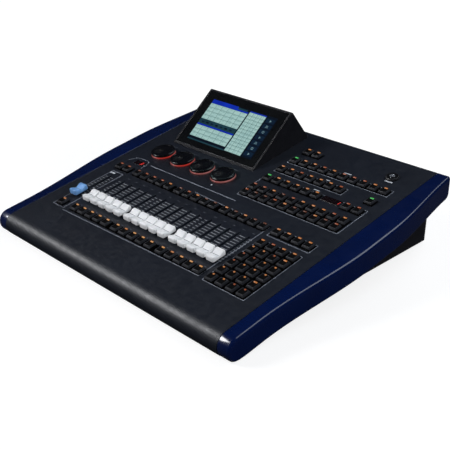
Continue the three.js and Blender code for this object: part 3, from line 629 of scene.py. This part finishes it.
def printed_outlines():
    ink = Build()

    def closed(box, radius=4):
        x0, x1, y0, y1 = box
        path = rounded_path([(x0, y0), (x1, y0), (x1, y1), (x0, y1)], radius, closed=True)
        ink.ribbon(path, LINE, INK_LOW, INK_HIGH, closed=True)

    def opened(points, radius=4, width=LINE):
        ink.ribbon(rounded_path(points, radius), width, INK_LOW, INK_HIGH)

    keypad = around(["keypad_keys"])
    closed(keypad)
    closed(around(["function_keys"], front=4.5))
    front = keypad[2]
    master_x0 = around(["master_flash_key"])[0] - 3.5
    master_x1 = (master_x + fader_xs[0]) / 2
    closed((master_x0, master_x1, front + 1, fader_rest + 81))
    _, right, _, rear = around(["select_keys"])
    corner = (right + 1, rear + 1)
    opened([(wheel_xs[3] - 2, rear + 1), corner, (right + 1, front), (master_x1 + 1, front)], 7)
    closed(around(["preset_keys", "step_keys", "group_keys"], right=4.5))
    closed(around(["palette_keys"]))
    closed(around(["attribute_keys"], right=3.5))
    opened([(wheel_xs[0] + 14, WHEEL_DEPTH - 41), (wheel_xs[3] + 68, WHEEL_DEPTH - 41)], width=1.5)
    x0, x1, y0, y1 = around(["page_display"], left=16, right=2, front=3, rear=7)
    opened([(x0, y0 + 8), (x0 + 6, y1 - 3), (x0 + 18, y1), (x1 - 6, y1), (x1, y1 - 7), (x1, y0)], 3)
    ink.piece("deck_outlines", "desk", "print", print_ink)


def fader_scales():
    """Tick marks on both sides of every slot."""
    ink = Build()
    for x in [master_x] + fader_xs:
        for i in range(SCALE_MARKS):
            y = fader_rest + fader_travel * i / (SCALE_MARKS - 1)
            for side in (-SCALE_OFFSET, SCALE_OFFSET):
                ink.pad(x + side, y, *SCALE_MARK, INK_LOW, INK_HIGH, 0.2, 0.03)
    ink.piece("fader_scales", "desk", "print", scale_ink)


def generic_labels():
    """Short plain dashes where a desk has its legends."""
    bright = Build()
    faint = Build()

    def dash(build, x, y, width, length):
        build.pad(x, y, width, length, INK_LOW, INK_HIGH, 0.3, 0.03)

    dash(bright, master_x - 7, fader_rest + 73, 12, 3.4)
    lock = centre_in("key_lock_barrel")
    dash(bright, lock.x + 2, lock.y - 12.5, 13, 3)
    bright.lathe([(1.7, INK_LOW), (1.7, INK_HIGH)], 20, wheel_xs[3] + 2.6, WHEEL_DEPTH - 28.4)
    attribute = around(["attribute_keys"])
    palette = around(["palette_keys"])
    group = around(["group_keys"])
    dash(bright, (attribute[0] + attribute[1]) / 2 + 8, attribute[3] + 2.2, 13, 1.7)
    dash(bright, palette[1] - 45, palette[3] + 2.4, 7, 1.7)
    dash(bright, group[1] - 22, group[3] + 2.4, 11, 1.7)
    for name in ("preset", "palette", "attribute", "menu", "function", "keypad"):
        behind = 9.9 if name == "keypad" else 10.2
        places = key_centres(f"{name}_keys")
        for x, y in places:
            if y == places[-1][1]:
                dash(faint, x - 1.5, y + behind, 6.5, 0.9)
    for x in fader_xs:
        dash(faint, x, fader_rest - 20.5, 3.2, 1.2)
        dash(faint, x, fader_rest + fader_travel + 14, 5, 0.9)
    for x in wheel_xs:
        dash(faint, x, WHEEL_DEPTH + 27, 12, 1.1)
    bright.piece("bright_labels", "desk", "print", label_ink)
    faint.piece("faint_labels", "desk", "print", dark_ink)


# ---- Keys and their lamps ----

KEY_SIDE = 15
KEY_WEB = (-4.5, -3.0)
KEY_PROFILE = (  # how much narrower, corner radius, height: body, rim and dish
    (0, 0.9, KEY_WEB[1] - 0.4), (0, 0.9, 1.7), (0.3, 0.9, 2.1),
    (2.3, 1.3, 4.5), (2.9, 1.4, 4.85), (3.7, 1.3, 4.95),
    (5.2, 1.2, 4.75), (8, 1.0, 4.5), (12, 0.6, 4.4),
)
LAMP_OFFSET = 4.6  # from a key's centre towards the rear
LAMP_LENGTH = 2.3


def key_cap(build, x, y):
    """A cap with a sloped rim and a dished top; the rim's faces take a lighter painted sheen."""
    loops = []
    for narrower, corner, z in KEY_PROFILE:
        side = KEY_SIDE - narrower
        loops.append(rounded_loop(x, y, side, side, corner, z))
    rows = build.loft(loops)
    # Faces of the sloped rim take the second finish, the lighter painted sheen.
    for face in set(f for row in rows[2:6] for v in row for f in v.link_faces):
        middle = sum((v.co.z for v in face.verts), 0.0) / len(face.verts)
        if 2.2 < middle < 4.93:
            face.material_index = 1


def key_lamp(build, x, y, width, finish):
    build.pad(x, y + LAMP_OFFSET, width, LAMP_LENGTH, 3.6, 5.25, 0.7, 0.3, finish)


def wide_keypad_lamp(index):
    """The keypad's rear row, and two keys of its right column, have wide lamps."""
    row, column = divmod(index, 4)
    return row == 5 or (column == 3 and row in (1, 4))


def lamp_levels(node, count):
    """Brightness of each lamp: 0 amber, 1 orange, 2 ember, 3 dim."""
    chooser = random.Random(node)
    spread = {
        "flash_keys": (0, 0, 0, 1),
        "master_flash_key": (1,),
        "select_keys": (1, 2, 2, 3),
        "keypad_keys": (1, 1, 2),
        "preset_keys": (2, 2, 3, 1, 3),
        "function_keys": (1, 1),
        "page_keys": (2, 1),
    }.get(node, (1, 2, 1))
    return [chooser.choice(spread) for _ in range(count)]


GREEN_FIRST = ("group_keys", "attribute_keys", "blackout_key")


def keys():
    for node in KEY_NODES:
        body = f"press_{node}"
        places = key_centres(node)
        low, high, middle = local_box(node, DECK)
        caps = Build()
        caps.pad(middle.x, middle.y, high.x - low.x, high.y - low.y, *KEY_WEB, 1.5, 0.2)
        for x, y in places:
            key_cap(caps, x, y)
        caps.piece(f"{node}_caps", body, "key", key_top, key_rim_painted_sheen, sharp=50, replaces=(node,))
        lamps = Build()
        for index, ((x, y), level) in enumerate(zip(places, lamp_levels(node, len(places)))):
            if index == 0 and node in GREEN_FIRST:
                green = Build()
                key_lamp(green, x, y, 6.4, 0)
                green.piece(f"{node}_green_lamp", body, "led_green", green_lamp)
                continue
            wide = node != "keypad_keys" or wide_keypad_lamp(index)
            key_lamp(lamps, x, y, 5.6 if wide else 2.9, level)
        if len(lamps.mesh.faces):
            lamps.piece(
                f"{node}_lamps", body, "led_orange", amber_lamp, orange_lamp, ember_lamp, dim_lamp)


# ---- Faders ----

CAP_LOW = 4.5
CAP_WAIST = 8.2
CAP_CORNER = 2.6  # radius of a cap's corners in plan
CAP_EDGE = 1.1  # softening along a cap's sides
SCOOP_STEPS = 20


def fader_cap(node, body, slot, colour):
    """A long cap with a scooped waist, a marker line and a stem down the slot."""
    low, high, _ = local_box(node, DECK)
    x = (low.x + high.x) / 2
    y = (low.y + high.y) / 2
    width = high.x - low.x
    half = (high.y - low.y) / 2
    top = high.z
    rim = half - 2.4
    build = Build()
    rear_end = [
        (rim, top), (half - 1.6, top - 0.15), (half - 0.9, top - 0.6), (half - 0.35, top - 1.4),
        (half, top - 2.6)]
    front_end = [(-s, z) for s, z in reversed(rear_end)]
    scoop = []
    for i in range(1, SCOOP_STEPS):
        s = -rim + 2 * rim * i / SCOOP_STEPS
        scoop.append((s, top - (top - CAP_WAIST) * cos(s / rim * pi / 2) ** 2))
    loops = []
    for s, z in front_end + scoop + rear_end:
        into_corner = max(0, CAP_CORNER - (half - abs(s)))
        side = width / 2 - CAP_CORNER + sqrt(CAP_CORNER ** 2 - into_corner ** 2)
        right = [
            (side - 0.3, CAP_LOW), (side, CAP_LOW + 0.6), (side, z - CAP_EDGE),
            (side - 0.35 * CAP_EDGE, z - 0.35 * CAP_EDGE), (side - CAP_EDGE, z)]
        *left, start = [(-dx, h) for dx, h in reversed(right)]
        section = [start] + right + [(0, z - 0.25)] + left
        loops.append([Vector((x + dx, y + s, h)) for dx, h in section])
    build.loft(loops)
    build.pad(x, y, 1.2, 8, low.z, CAP_LOW + 0.4, 0.3, 0.1)
    build.pad(x, y, width - 3.4, 0.7, CAP_WAIST - 1, CAP_WAIST + 0.02, 0.2, 0.05, 1)
    build.piece(f"{node}_skin", body, slot, colour, cap_line, sharp=38, replaces=(node,))


def faders():
    fader_cap("master_fader_cap", "master_fader", "cap_blue", cap_blue)
    for number, node in enumerate(FADERS, 1):
        fader_cap(node, f"fader_{number:02d}", "cap_white", cap_white)


# ---- Encoder wheels and their rings ----

WHEEL_UNDERSIDE = 2.9
WHEEL_DISH = 1.1  # depth of the dished top
WHEEL_RIM = (1.3, 3.8)  # the dish falls off between these distances from the edge
WHEEL_RINGS = 30  # across the dished top
DIMPLE = (-5.5, -5)  # from the wheel's axis
DIMPLE_SPHERE = 9
DIMPLE_LIFT = 6.2  # the sphere's centre over the wheel's top


def wheel_height(top, radius, dx, dy):
    """Height of the wheel's dished top, with a soft lip round the finger dimple."""
    from_edge = radius - hypot(dx, dy)
    level = top - WHEEL_DISH * smooth(from_edge, *WHEEL_RIM)
    away = hypot(dx - DIMPLE[0], dy - DIMPLE[1])
    if away >= DIMPLE_SPHERE:
        return level
    bowl = top + DIMPLE_LIFT - sqrt(DIMPLE_SPHERE ** 2 - away ** 2)
    soft = 0.3
    return (level + bowl - sqrt((level - bowl) ** 2 + soft ** 2)) / 2


def encoder_wheel(number, node):
    low, high, _ = local_box(node, DECK)
    x = wheel_xs[number - 1]
    y = WHEEL_DEPTH
    radius = (high.x - low.x) / 2
    top = high.z
    edge = 1.2
    face_radius = radius - edge
    profile = [
        (3, low.z), (3, WHEEL_UNDERSIDE), (radius - 0.6, WHEEL_UNDERSIDE),
        (radius - 0.15, WHEEL_UNDERSIDE + 0.15), (radius, WHEEL_UNDERSIDE + 0.6),
        (radius, top - edge)]
    for angle in quarter(5, 1):
        profile.append((face_radius + edge * cos(angle), top - edge + edge * sin(angle)))
    profile += [(face_radius * (1 - i / WHEEL_RINGS), top) for i in range(1, WHEEL_RINGS)]
    profile.append((0.25, top))
    build = Build()
    loops = []
    for r, z in profile:
        loop = ring_loop(r, z, 72, x, y)
        if z == top:
            for p in loop:
                p.z = wheel_height(top, radius, p.x - x, p.y - y)
        loops.append(loop)
    build.loft(loops)
    for face in build.mesh.faces:
        heights = [v.co.z for v in face.verts]
        if WHEEL_UNDERSIDE + 0.5 < min(heights) and max(heights) < top - edge + 0.1:
            face.material_index = 1
    build.piece(
        f"{node}_skin", f"encoder_{number}", "wheel", wheel_gloss, wheel_skirt, sharp=50,
        replaces=(node,))


RING_INNER = 19.2
RING_OUTER = 20.5
RING_FOOT = -4.4


def ring_lights():
    """Four light rings on one guide; they glow pink, and redder to the right on the first two."""
    build = Build()
    low, high, middle = local_box("light_guide", DECK)
    build.pad(middle.x, middle.y, high.x - low.x, high.y - low.y, low.z, low.z + 2, 2, 0.2)
    crest = high.z
    profile = [
        (RING_INNER, RING_FOOT), (RING_OUTER, RING_FOOT), (RING_OUTER, 0.2), (RING_OUTER, 1.0),
        (RING_OUTER, crest - 0.7), (RING_OUTER - 0.2, crest - 0.2), (RING_OUTER - 0.6, crest),
        (RING_INNER, crest)]
    for x in wheel_xs:
        build.lathe(profile, 96, x, WHEEL_DEPTH, around=True)
    made = build.piece(
        "ring_lights", "desk", "ring_light", ring_glow(), sharp=50, replaces=("light_guide",))
    glow = made.data.color_attributes.new("glow", "FLOAT_COLOR", "POINT")
    to_deck = DECK.inverted()
    pink = Vector(linear((160, 98, 96))[:3])
    red = Vector(linear((184, 44, 34))[:3])
    for vertex, value in zip(made.data.vertices, glow.data):
        spot = to_deck @ vertex.co
        index = min(range(4), key=lambda i: abs(wheel_xs[i] - spot.x))
        angle = atan2(spot.y - WHEEL_DEPTH, spot.x - wheel_xs[index])
        to_right = max(0.0, cos(angle + 0.5)) ** 2
        front = max(0.0, sin(-angle)) ** 4
        share = (0.25 + 0.75 * to_right, 0.3 + 0.7 * to_right, 0.3 * front, 0.22 * front)[index]
        level = 0.15 + 0.85 * smooth(spot.z, 0.2, crest)
        value.color = (*pink.lerp(red, share) * level, 1.0)


def ring_glow():
    """Takes its glow from the piece's own vertex colours."""
    made = Finish("ring_glow", (44, 32, 32), 0.3)
    made.rough(0.25, 0.4, 3).bump(0.01, 2)
    colour = made.add("ShaderNodeVertexColor", layer_name="glow").outputs["Color"]
    return made.glow(colour, made.span(made.noise(9), 0.7, 0.95))


# ---- Screen pod ----

def screen_pod():
    # The shell's rounded edges take the light grey painted highlight.
    refine("pod_shell", "pod", pod_plastic, pod_painted_highlight, bevel=0.7)
    # The glass's rounded edges take the rim colour: partly ground glass, partly a painted
    # highlight.
    refine("screen_glass", "glass", glass_face, glass_rim_and_highlight, bevel=0.35)
    picture(*local_box("screen_glass", FACE)[:2])


PICTURE_SIDE = 18.5  # from the glass's left edge to the picture
PICTURE_FRONT = 12.5  # from the glass's front edge to the picture
PICTURE_WIDTH = 149
PICTURE_LENGTH = 83


def picture(glass_low, glass_high):
    """A generic picture: three panels of tiles under title bars, and a column of icons."""
    left = glass_low.x + PICTURE_SIDE
    front = glass_low.y + PICTURE_FRONT
    base = glass_high.z - 0.1
    build = Build(FACE)

    def tile(x0, x1, y0, y1, finish, lift=0.12, radius=0.25):
        """A lit rectangle, in millimetres from the picture's front left corner."""
        build.pad(
            left + (x0 + x1) / 2, front + (y0 + y1) / 2, x1 - x0, y1 - y0, base, base + lift,
            radius, 0.01, finish, steps=1)

    def panel(x0, x1, y0, y1, columns, rows, bar):
        """A grid of tiles, each with a faint mark, under a blue bar."""
        tile(x0, x1, y0, y1, GRID, 0.13)
        tile(x0, x1, y1, y1 + bar, BLUE, 0.13)
        wide = (x1 - x0) / columns
        long = (y1 - y0) / rows
        for i in range(columns):
            for k in range(rows):
                a = x0 + i * wide
                b = y0 + k * long
                tile(a + 0.35, a + wide - 0.35, b + 0.35, b + long - 0.35, CELL, 0.15)
                mark = 0.3 + 0.35 * chooser.random()
                if long > 6:
                    y = b + long
                    tile(a + 2, a + 2 + wide * mark, y - 2.3, y - 1.5, TEXT, 0.16, 0.1)
                if chooser.random() < 0.5:
                    tile(a + 2, a + 2 + wide * 0.4, b + 1.5, b + 2.2, TEXT, 0.16, 0.1)

    chooser = random.Random(7)
    tile(0, PICTURE_WIDTH, 0, PICTURE_LENGTH, DARK, 0.11)
    tile(0, 61, 78, 83, BLUE, 0.13)
    tile(61, 83, 78, 81.5, GAP, 0.13)
    panel(0, 86.2, 42.5, 75, 6, 4, 3)
    tile(0, 86.2, 32.5, 42.5, GAP, 0.12)
    for i in range(7):
        tile(6 + 11 * i, 12 + 11 * i, 35.5, 38.5, DARK if i % 2 else BUTTON, 0.14)
    panel(0, 86.2, 6.2, 29.5, 6, 3, 3)
    tile(0, 88, -1, 1.5, GAP, 0.13)
    panel(88.5, 125.5, 0, 79.5, 4, 12, 2.2)
    for i in range(7):
        y0 = 4 + 11 * i
        tile(129, 147, y0, y0 + 8.5, BUTTON, 0.14, 0.8)
        icon(build, left + 138, front + y0 + 4.25, base + 0.16, i, ICON)
    build.piece("screen_picture", "desk", "screen_image", *screen_inks)


def icon(build, x, y, z, kind, finish):
    """A plain sign: a triangle, a ring or bars."""
    if kind % 3 == 0:
        build.lathe([(2.5, z - 0.1), (2.5, z)], 3, x, y, finish)
    elif kind % 3 == 1:
        ring = [(1.4, z - 0.1), (2.4, z - 0.1), (2.4, z), (1.4, z)]
        build.lathe(ring, 20, x, y, finish, around=True)
    else:
        for k in (-1, 0, 1):
            build.pad(x, y + 1.6 * k, 5 - k, 0.8, z - 0.1, z, 0.2, 0.01, finish, steps=1)


# ---- Displays and key lock ----

SEGMENTS = {  # both ends, in half widths and half heights
    "a": (-1, 1, 1, 1), "g": (-1, 0, 1, 0), "d": (-1, -1, 1, -1), "b": (1, 1, 1, 0),
    "c": (1, 0, 1, -1), "f": (-1, 1, -1, 0), "e": (-1, 0, -1, -1),
}
SLANT = 0.12


def digit(build, x, y, z, height, lit):
    """Seven slanted segments; lit names the glowing ones."""
    wide = height * 0.28

    def end(across, up):
        rise = height / 2 * up
        return Vector((x + wide * across + SLANT * rise, y + rise))

    for name, places in SEGMENTS.items():
        a, b = end(*places[:2]), end(*places[2:])
        trim = (b - a).normalized() * 0.35
        on = name in lit
        build.ribbon([a + trim, b - trim], 0.9, z - 0.2, z + (0.08 if on else 0.04), finish=int(on))


def displays():
    refine("playback_display", "display", display_glass)
    refine("page_display", "display", display_glass)
    build = Build()
    _, high, middle = local_box("playback_display", DECK)
    for i in range(4):
        digit(build, middle.x - 11.4 + 7.6 * i, middle.y, high.z, 7.6, "bc" if i == 3 else "")
    _, high, middle = local_box("page_display", DECK)
    for i in range(2):
        digit(build, middle.x - 4 + 8 * i, middle.y, high.z, 6.4, "abgcd" if i == 1 else "")
    build.piece("display_digits", "desk", "led_red", segment_off, red_lamp)


def key_lock():
    refine("key_lock_barrel", "socket", lock_black, socket_edge)
    refine("key_lock_plug", "chrome", plug_steel, chrome, bevel=0.2)


# ---- Rear connectors, fasteners, feet and the inside ----

FACING_REAR = Matrix.Rotation(radians(-90), 4, "X")  # local Z points to the rear
FACING_DOWN = Matrix.Rotation(radians(180), 4, "X")
SCREW_HEIGHTS = (96, 12)  # of the two rows on the rear wall


def screw(build, x, y, z, facing, radius):
    """A round head with a cross recess, standing on the surface that it faces away from."""
    at = Matrix.Translation((x, y, z)) @ facing
    head = 0.75 * radius
    build.lathe([
        (0.5 * radius, -1), (radius, 0.02), (radius, 0.2 * head), (0.88 * radius, 0.62 * head),
        (0.6 * radius, 0.92 * head), (0.42 * radius, head), (0.38 * radius, 0.55 * head),
        (0.1 * radius, 0.5 * head)], 20, at=at)
    for turn in (0, 90):
        cross = at @ Matrix.Rotation(radians(turn), 4, "Z")
        build.pad(0, 0, 0.9 * radius, 0.2 * radius, 0.4 * head, 0.6 * head, 0.1, 0.05, 1, at=cross)


def rear_fittings():
    refine("power_inlet", "socket", socket_plastic, socket_edge, bevel=0.4)
    refine("power_rocker", "socket", socket_plastic, socket_edge, bevel=0.5)
    refine("dmx_sockets", "socket", socket_plastic, socket_edge)
    refine("data_ports", "steel", zinc, bright_steel)
    refine("lamp_socket", "socket", socket_plastic, socket_edge)


METAL, GOLD, BLACK = range(3)
CONTACT_DEPTH = 2.2  # from a round socket's face to its insert
SOCKET_PITCH = 33
PORT_DEPTH = 13.5  # of the wells of the data ports
PLUG_PORTS = (-44, -22)  # from the middle of the data ports' plate
FLAT_PORTS = (0, 20)


def facing_rear(x, y, z):
    """Axes at a place on a rear wall, with local Z pointing out of it."""
    return Matrix.Translation((x, y, z)) @ FACING_REAR


def contacts(build, at, angles, away, radius):
    """Hollow contacts on a circle round a socket's middle."""
    for angle in angles:
        turn = radians(angle)
        build.lathe(
            [(radius, -1), (radius, 0.35), (radius / 2, 0.35), (0.5, -0.4)], 14,
            away * cos(turn), away * sin(turn), GOLD, at=at)


def rear_details():
    """Contacts, latches and port linings of the rear connectors."""
    build = Build(PLAIN)
    _, high, middle = local_box("dmx_sockets", PLAIN)
    for i in range(4):
        x = middle.x + SOCKET_PITCH * (i - 1.5)
        insert = facing_rear(x, high.y - CONTACT_DEPTH, middle.z)
        contacts(build, insert, range(-30, 211, 60), 4.6, 1.1)
        rim = facing_rear(x, high.y, middle.z)
        build.lathe(
            [(10.6, -0.6), (11.9, -0.6), (11.9, 0.5), (11.4, 0.9), (10.6, 0.9)], 40,
            finish=METAL, around=True, at=rim)
        build.pad(0, 11.6, 7, 3.4, -0.2, 1.3, 0.8, 0.3, METAL, at=rim)
    _, high, middle = local_box("data_ports", PLAIN)
    well = high.y - PORT_DEPTH
    for offset in PLUG_PORTS:
        at = facing_rear(middle.x + offset, well, middle.z)
        for k in range(8):
            build.pad(-4.6 + 1.3 * k, 2.8, 0.5, 5, -0.2, 5.5, 0.1, 0.1, GOLD, at=at)
    for offset in FLAT_PORTS:
        at = facing_rear(middle.x + offset, well, middle.z)
        build.pad(0, 0.6, 11, 2.4, -0.2, 9, 0.4, 0.2, BLACK, at=at)
    _, high, middle = local_box("lamp_socket", PLAIN)
    insert = facing_rear(middle.x, high.y - CONTACT_DEPTH, middle.z)
    contacts(build, insert, range(45, 316, 90), 4, 1.2)
    build.piece("connector_details", "desk", "steel", bright_steel, brass, socket_plastic)
    _, high, middle = local_box("power_rocker", PLAIN)
    mark = Build(PLAIN)
    at = facing_rear(middle.x, high.y - 0.55, middle.z - 4.4)
    mark.lathe([(1.7, -0.6), (2.3, -0.6), (2.3, 0.1), (1.7, 0.1)], 24, around=True, at=at)
    mark.piece("rocker_mark", "power_switch", "print", label_ink)


def fasteners():
    rear = Build(PLAIN)
    tray_low, tray_high, tray_middle = local_box("base_tray", PLAIN)
    wall = tray_high.y
    for node in ("dmx_sockets", "data_ports", "lamp_socket", "power_inlet"):
        low, high, middle = local_box(node, PLAIN)
        for side in (low.x - 5, high.x + 5):
            screw(rear, side, wall, middle.z, FACING_REAR, 2.3)
    for x in (-224, -110, 20, 108, 224):
        for height in SCREW_HEIGHTS:
            screw(rear, x, wall, height, FACING_REAR, 2.6)
    rear.piece("rear_screws", "desk", "steel", black_screw, socket_plastic)
    under = Build(PLAIN)
    for x in (-220, -110, 0, 110, 220):
        for y in (tray_low.y + 14, tray_middle.y, tray_high.y - 12):
            screw(under, x, y, tray_low.z, FACING_DOWN, 2.2)
    under.piece("underside_screws", "desk", "steel", zinc, socket_plastic)


def feet():
    for node in ("foot_front_left", "foot_front_right", "foot_rear_left", "foot_rear_right"):
        low, high, middle = local_box(node, PLAIN)
        radius = (high.x - low.x) / 2
        build = Build(PLAIN)
        build.lathe([
            (radius - 0.2, high.z), (radius, high.z - 0.5), (radius - 0.4, low.z + 0.4),
            (radius - 0.9, low.z), (radius - 2, low.z), (radius - 2.3, low.z + 0.4),
            (radius - 3, low.z + 0.4), (radius - 3.3, low.z), (radius - 5, low.z),
            (radius - 5.5, low.z + 0.8), (0.5, low.z + 0.8)], 48, middle.x, middle.y)
        build.piece(f"{node}_pad", "desk", "rubber", foot_rubber, sharp=60, replaces=(node,))


def inside():
    """The parts inside keep their CAD shapes and get real surfaces."""
    finishes = {
        "main_board": circuit_board, "fader_board": circuit_board, "switch_board": circuit_board,
        "encoder_board": circuit_board, "power_supply": bright_steel, "lcd_panel": zinc,
        "lcd_ribbon": ribbon_plastic,
    }
    for node, finish in finishes.items():
        materials = frame["nodes"][node].data.materials
        materials.clear()
        materials.append(finish.material)


# ---- Stage: floor, light, camera ----

CAMERA_AIM = Vector((0.0385, -0.0236, 0.0406))
CAMERA_DISTANCE = 1.231
CAMERA_AZIMUTH = 45.386
CAMERA_ELEVATION = 25.865
CAMERA_LENS = 66.351
DESK_MIDDLE = Vector((0.1, 0, 0.05))
NOSE_MIDDLE = Vector((0.1, -0.14, 0.04))  # of the deck's round front
OPEN_SPREAD = 180  # degrees, of a light with no grid
FRONT_TINT = (0.97, 0.98, 1.0)
FILL_TINT = (0.95, 0.97, 1.0)
BACK_TINT = (0.84, 0.92, 1.0)


def look(name, data, target, towards, distance):
    """An object that stands off its target in a direction, and looks at it."""
    made = add_object(name, data)
    made.location = target + towards * distance
    made.rotation_mode = "QUATERNION"
    made.rotation_quaternion = (-towards).to_track_quat("-Z", "Y")
    return made


def camera():
    lens = bpy.data.cameras.new("camera")
    lens.lens = CAMERA_LENS
    lens.sensor_width = 36
    lens.clip_start = 0.05
    lens.clip_end = 60
    azimuth = radians(CAMERA_AZIMUTH)
    elevation = radians(CAMERA_ELEVATION)
    back = Vector((sin(azimuth) * cos(elevation), -cos(azimuth) * cos(elevation), sin(elevation)))
    bpy.context.scene.camera = look("camera", lens, CAMERA_AIM, back, CAMERA_DISTANCE)


def soft_light(name, towards, distance, size, power, tint, spread=OPEN_SPREAD, aim=DESK_MIDDLE):
    """A square softbox that looks at a point from a direction; a grid limits its spread."""
    data = bpy.data.lights.new(name, "AREA")
    data.size = size
    data.energy = power
    data.color = tint
    data.spread = radians(spread)
    return look(name, data, aim, Vector(towards).normalized(), distance)


def lighting():
    """A gridded key, a box behind that draws the edges, and two fills with no reflection."""
    soft_light("front_left_box", (-0.64, -0.50, 0.57), 2.2, 0.85, 2.7, FRONT_TINT, 44, NOSE_MIDDLE)
    soft_light("rear_box", (0.27, 0.46, 0.84), 2.2, 1.3, 12.5, BACK_TINT)
    fills = (
        soft_light("right_fill", (0.9, -0.3, 0.45), 2.2, 2.0, 26, FILL_TINT),
        soft_light("rear_fill", (-0.15, 1, 0.14), 2.4, 1.6, 60, FILL_TINT),
    )
    for fill in fills:
        fill.visible_glossy = False


def camera_ray(tree):
    return tree.nodes.new("ShaderNodeLightPath").outputs["Is Camera Ray"]


def floor_paper():
    """Pale paper to the camera, plain up to the horizon, and dark to every other ray."""
    made = Finish("floor_paper", (0.03, 0.03, 0.033, 1), 0.9, specular=0.02)
    made.mottle((0.036, 0.036, 0.04, 1), 300)
    away = made.add("ShaderNodeVectorMath", {0: made.place}, operation="LENGTH").outputs["Value"]
    glow = made.span(away, 0.8, 1.0, 0.4, 1.2)
    light = made.add("ShaderNodeEmission", {"Color": (1, 1, 1, 1), "Strength": glow})
    paper = made.add("ShaderNodeBsdfDiffuse", {"Color": (0.3, 0.3, 0.3, 1)})
    both = made.add("ShaderNodeAddShader", {0: light.outputs[0], 1: paper.outputs[0]})
    choice = made.add("ShaderNodeMixShader", {
        "Fac": camera_ray(made.tree), 1: made.surface.outputs[0], 2: both.outputs[0]})
    made.feed(made.tree.nodes["Material Output"].inputs["Surface"], choice.outputs[0])
    return made


FLOOR_SIDE = 14000
FLOOR_THICKNESS = 20
ROOM_LIGHT = (0.012, 0.014, 0.022, 1)


def backdrop():
    build = Build(PLAIN)
    build.pad(0, 0, FLOOR_SIDE, FLOOR_SIDE, -FLOOR_THICKNESS, 0, 5, 1)
    mesh = bpy.data.meshes.new("floor")
    build.mesh.transform(PLAIN)
    build.mesh.to_mesh(mesh)
    build.mesh.free()
    mesh.materials.append(floor_paper().material)
    add_object("floor", mesh)
    world = bpy.data.worlds.new("studio")
    world.use_nodes = True
    tree = world.node_tree
    mix = tree.nodes.new("ShaderNodeMix")
    mix.data_type = "RGBA"
    mix.inputs[6].default_value = ROOM_LIGHT
    mix.inputs[7].default_value = (1, 1, 1, 1)
    tree.links.new(camera_ray(tree), mix.inputs["Factor"])
    tree.links.new(mix.outputs[2], tree.nodes["Background"].inputs["Color"])
    bpy.context.scene.world = world
    bpy.context.scene.view_settings.view_transform = "Standard"


# ---- Assembly ----

deck_and_tray()
cheek("left_cheek", -1)
cheek("right_cheek", 1)
printed_outlines()
fader_scales()
generic_labels()
keys()
faders()
for number, wheel in enumerate(WHEELS, 1):
    encoder_wheel(number, wheel)
ring_lights()
screen_pod()
displays()
key_lock()
rear_fittings()
rear_details()
fasteners()
feet()
inside()
backdrop()
lighting()
camera()
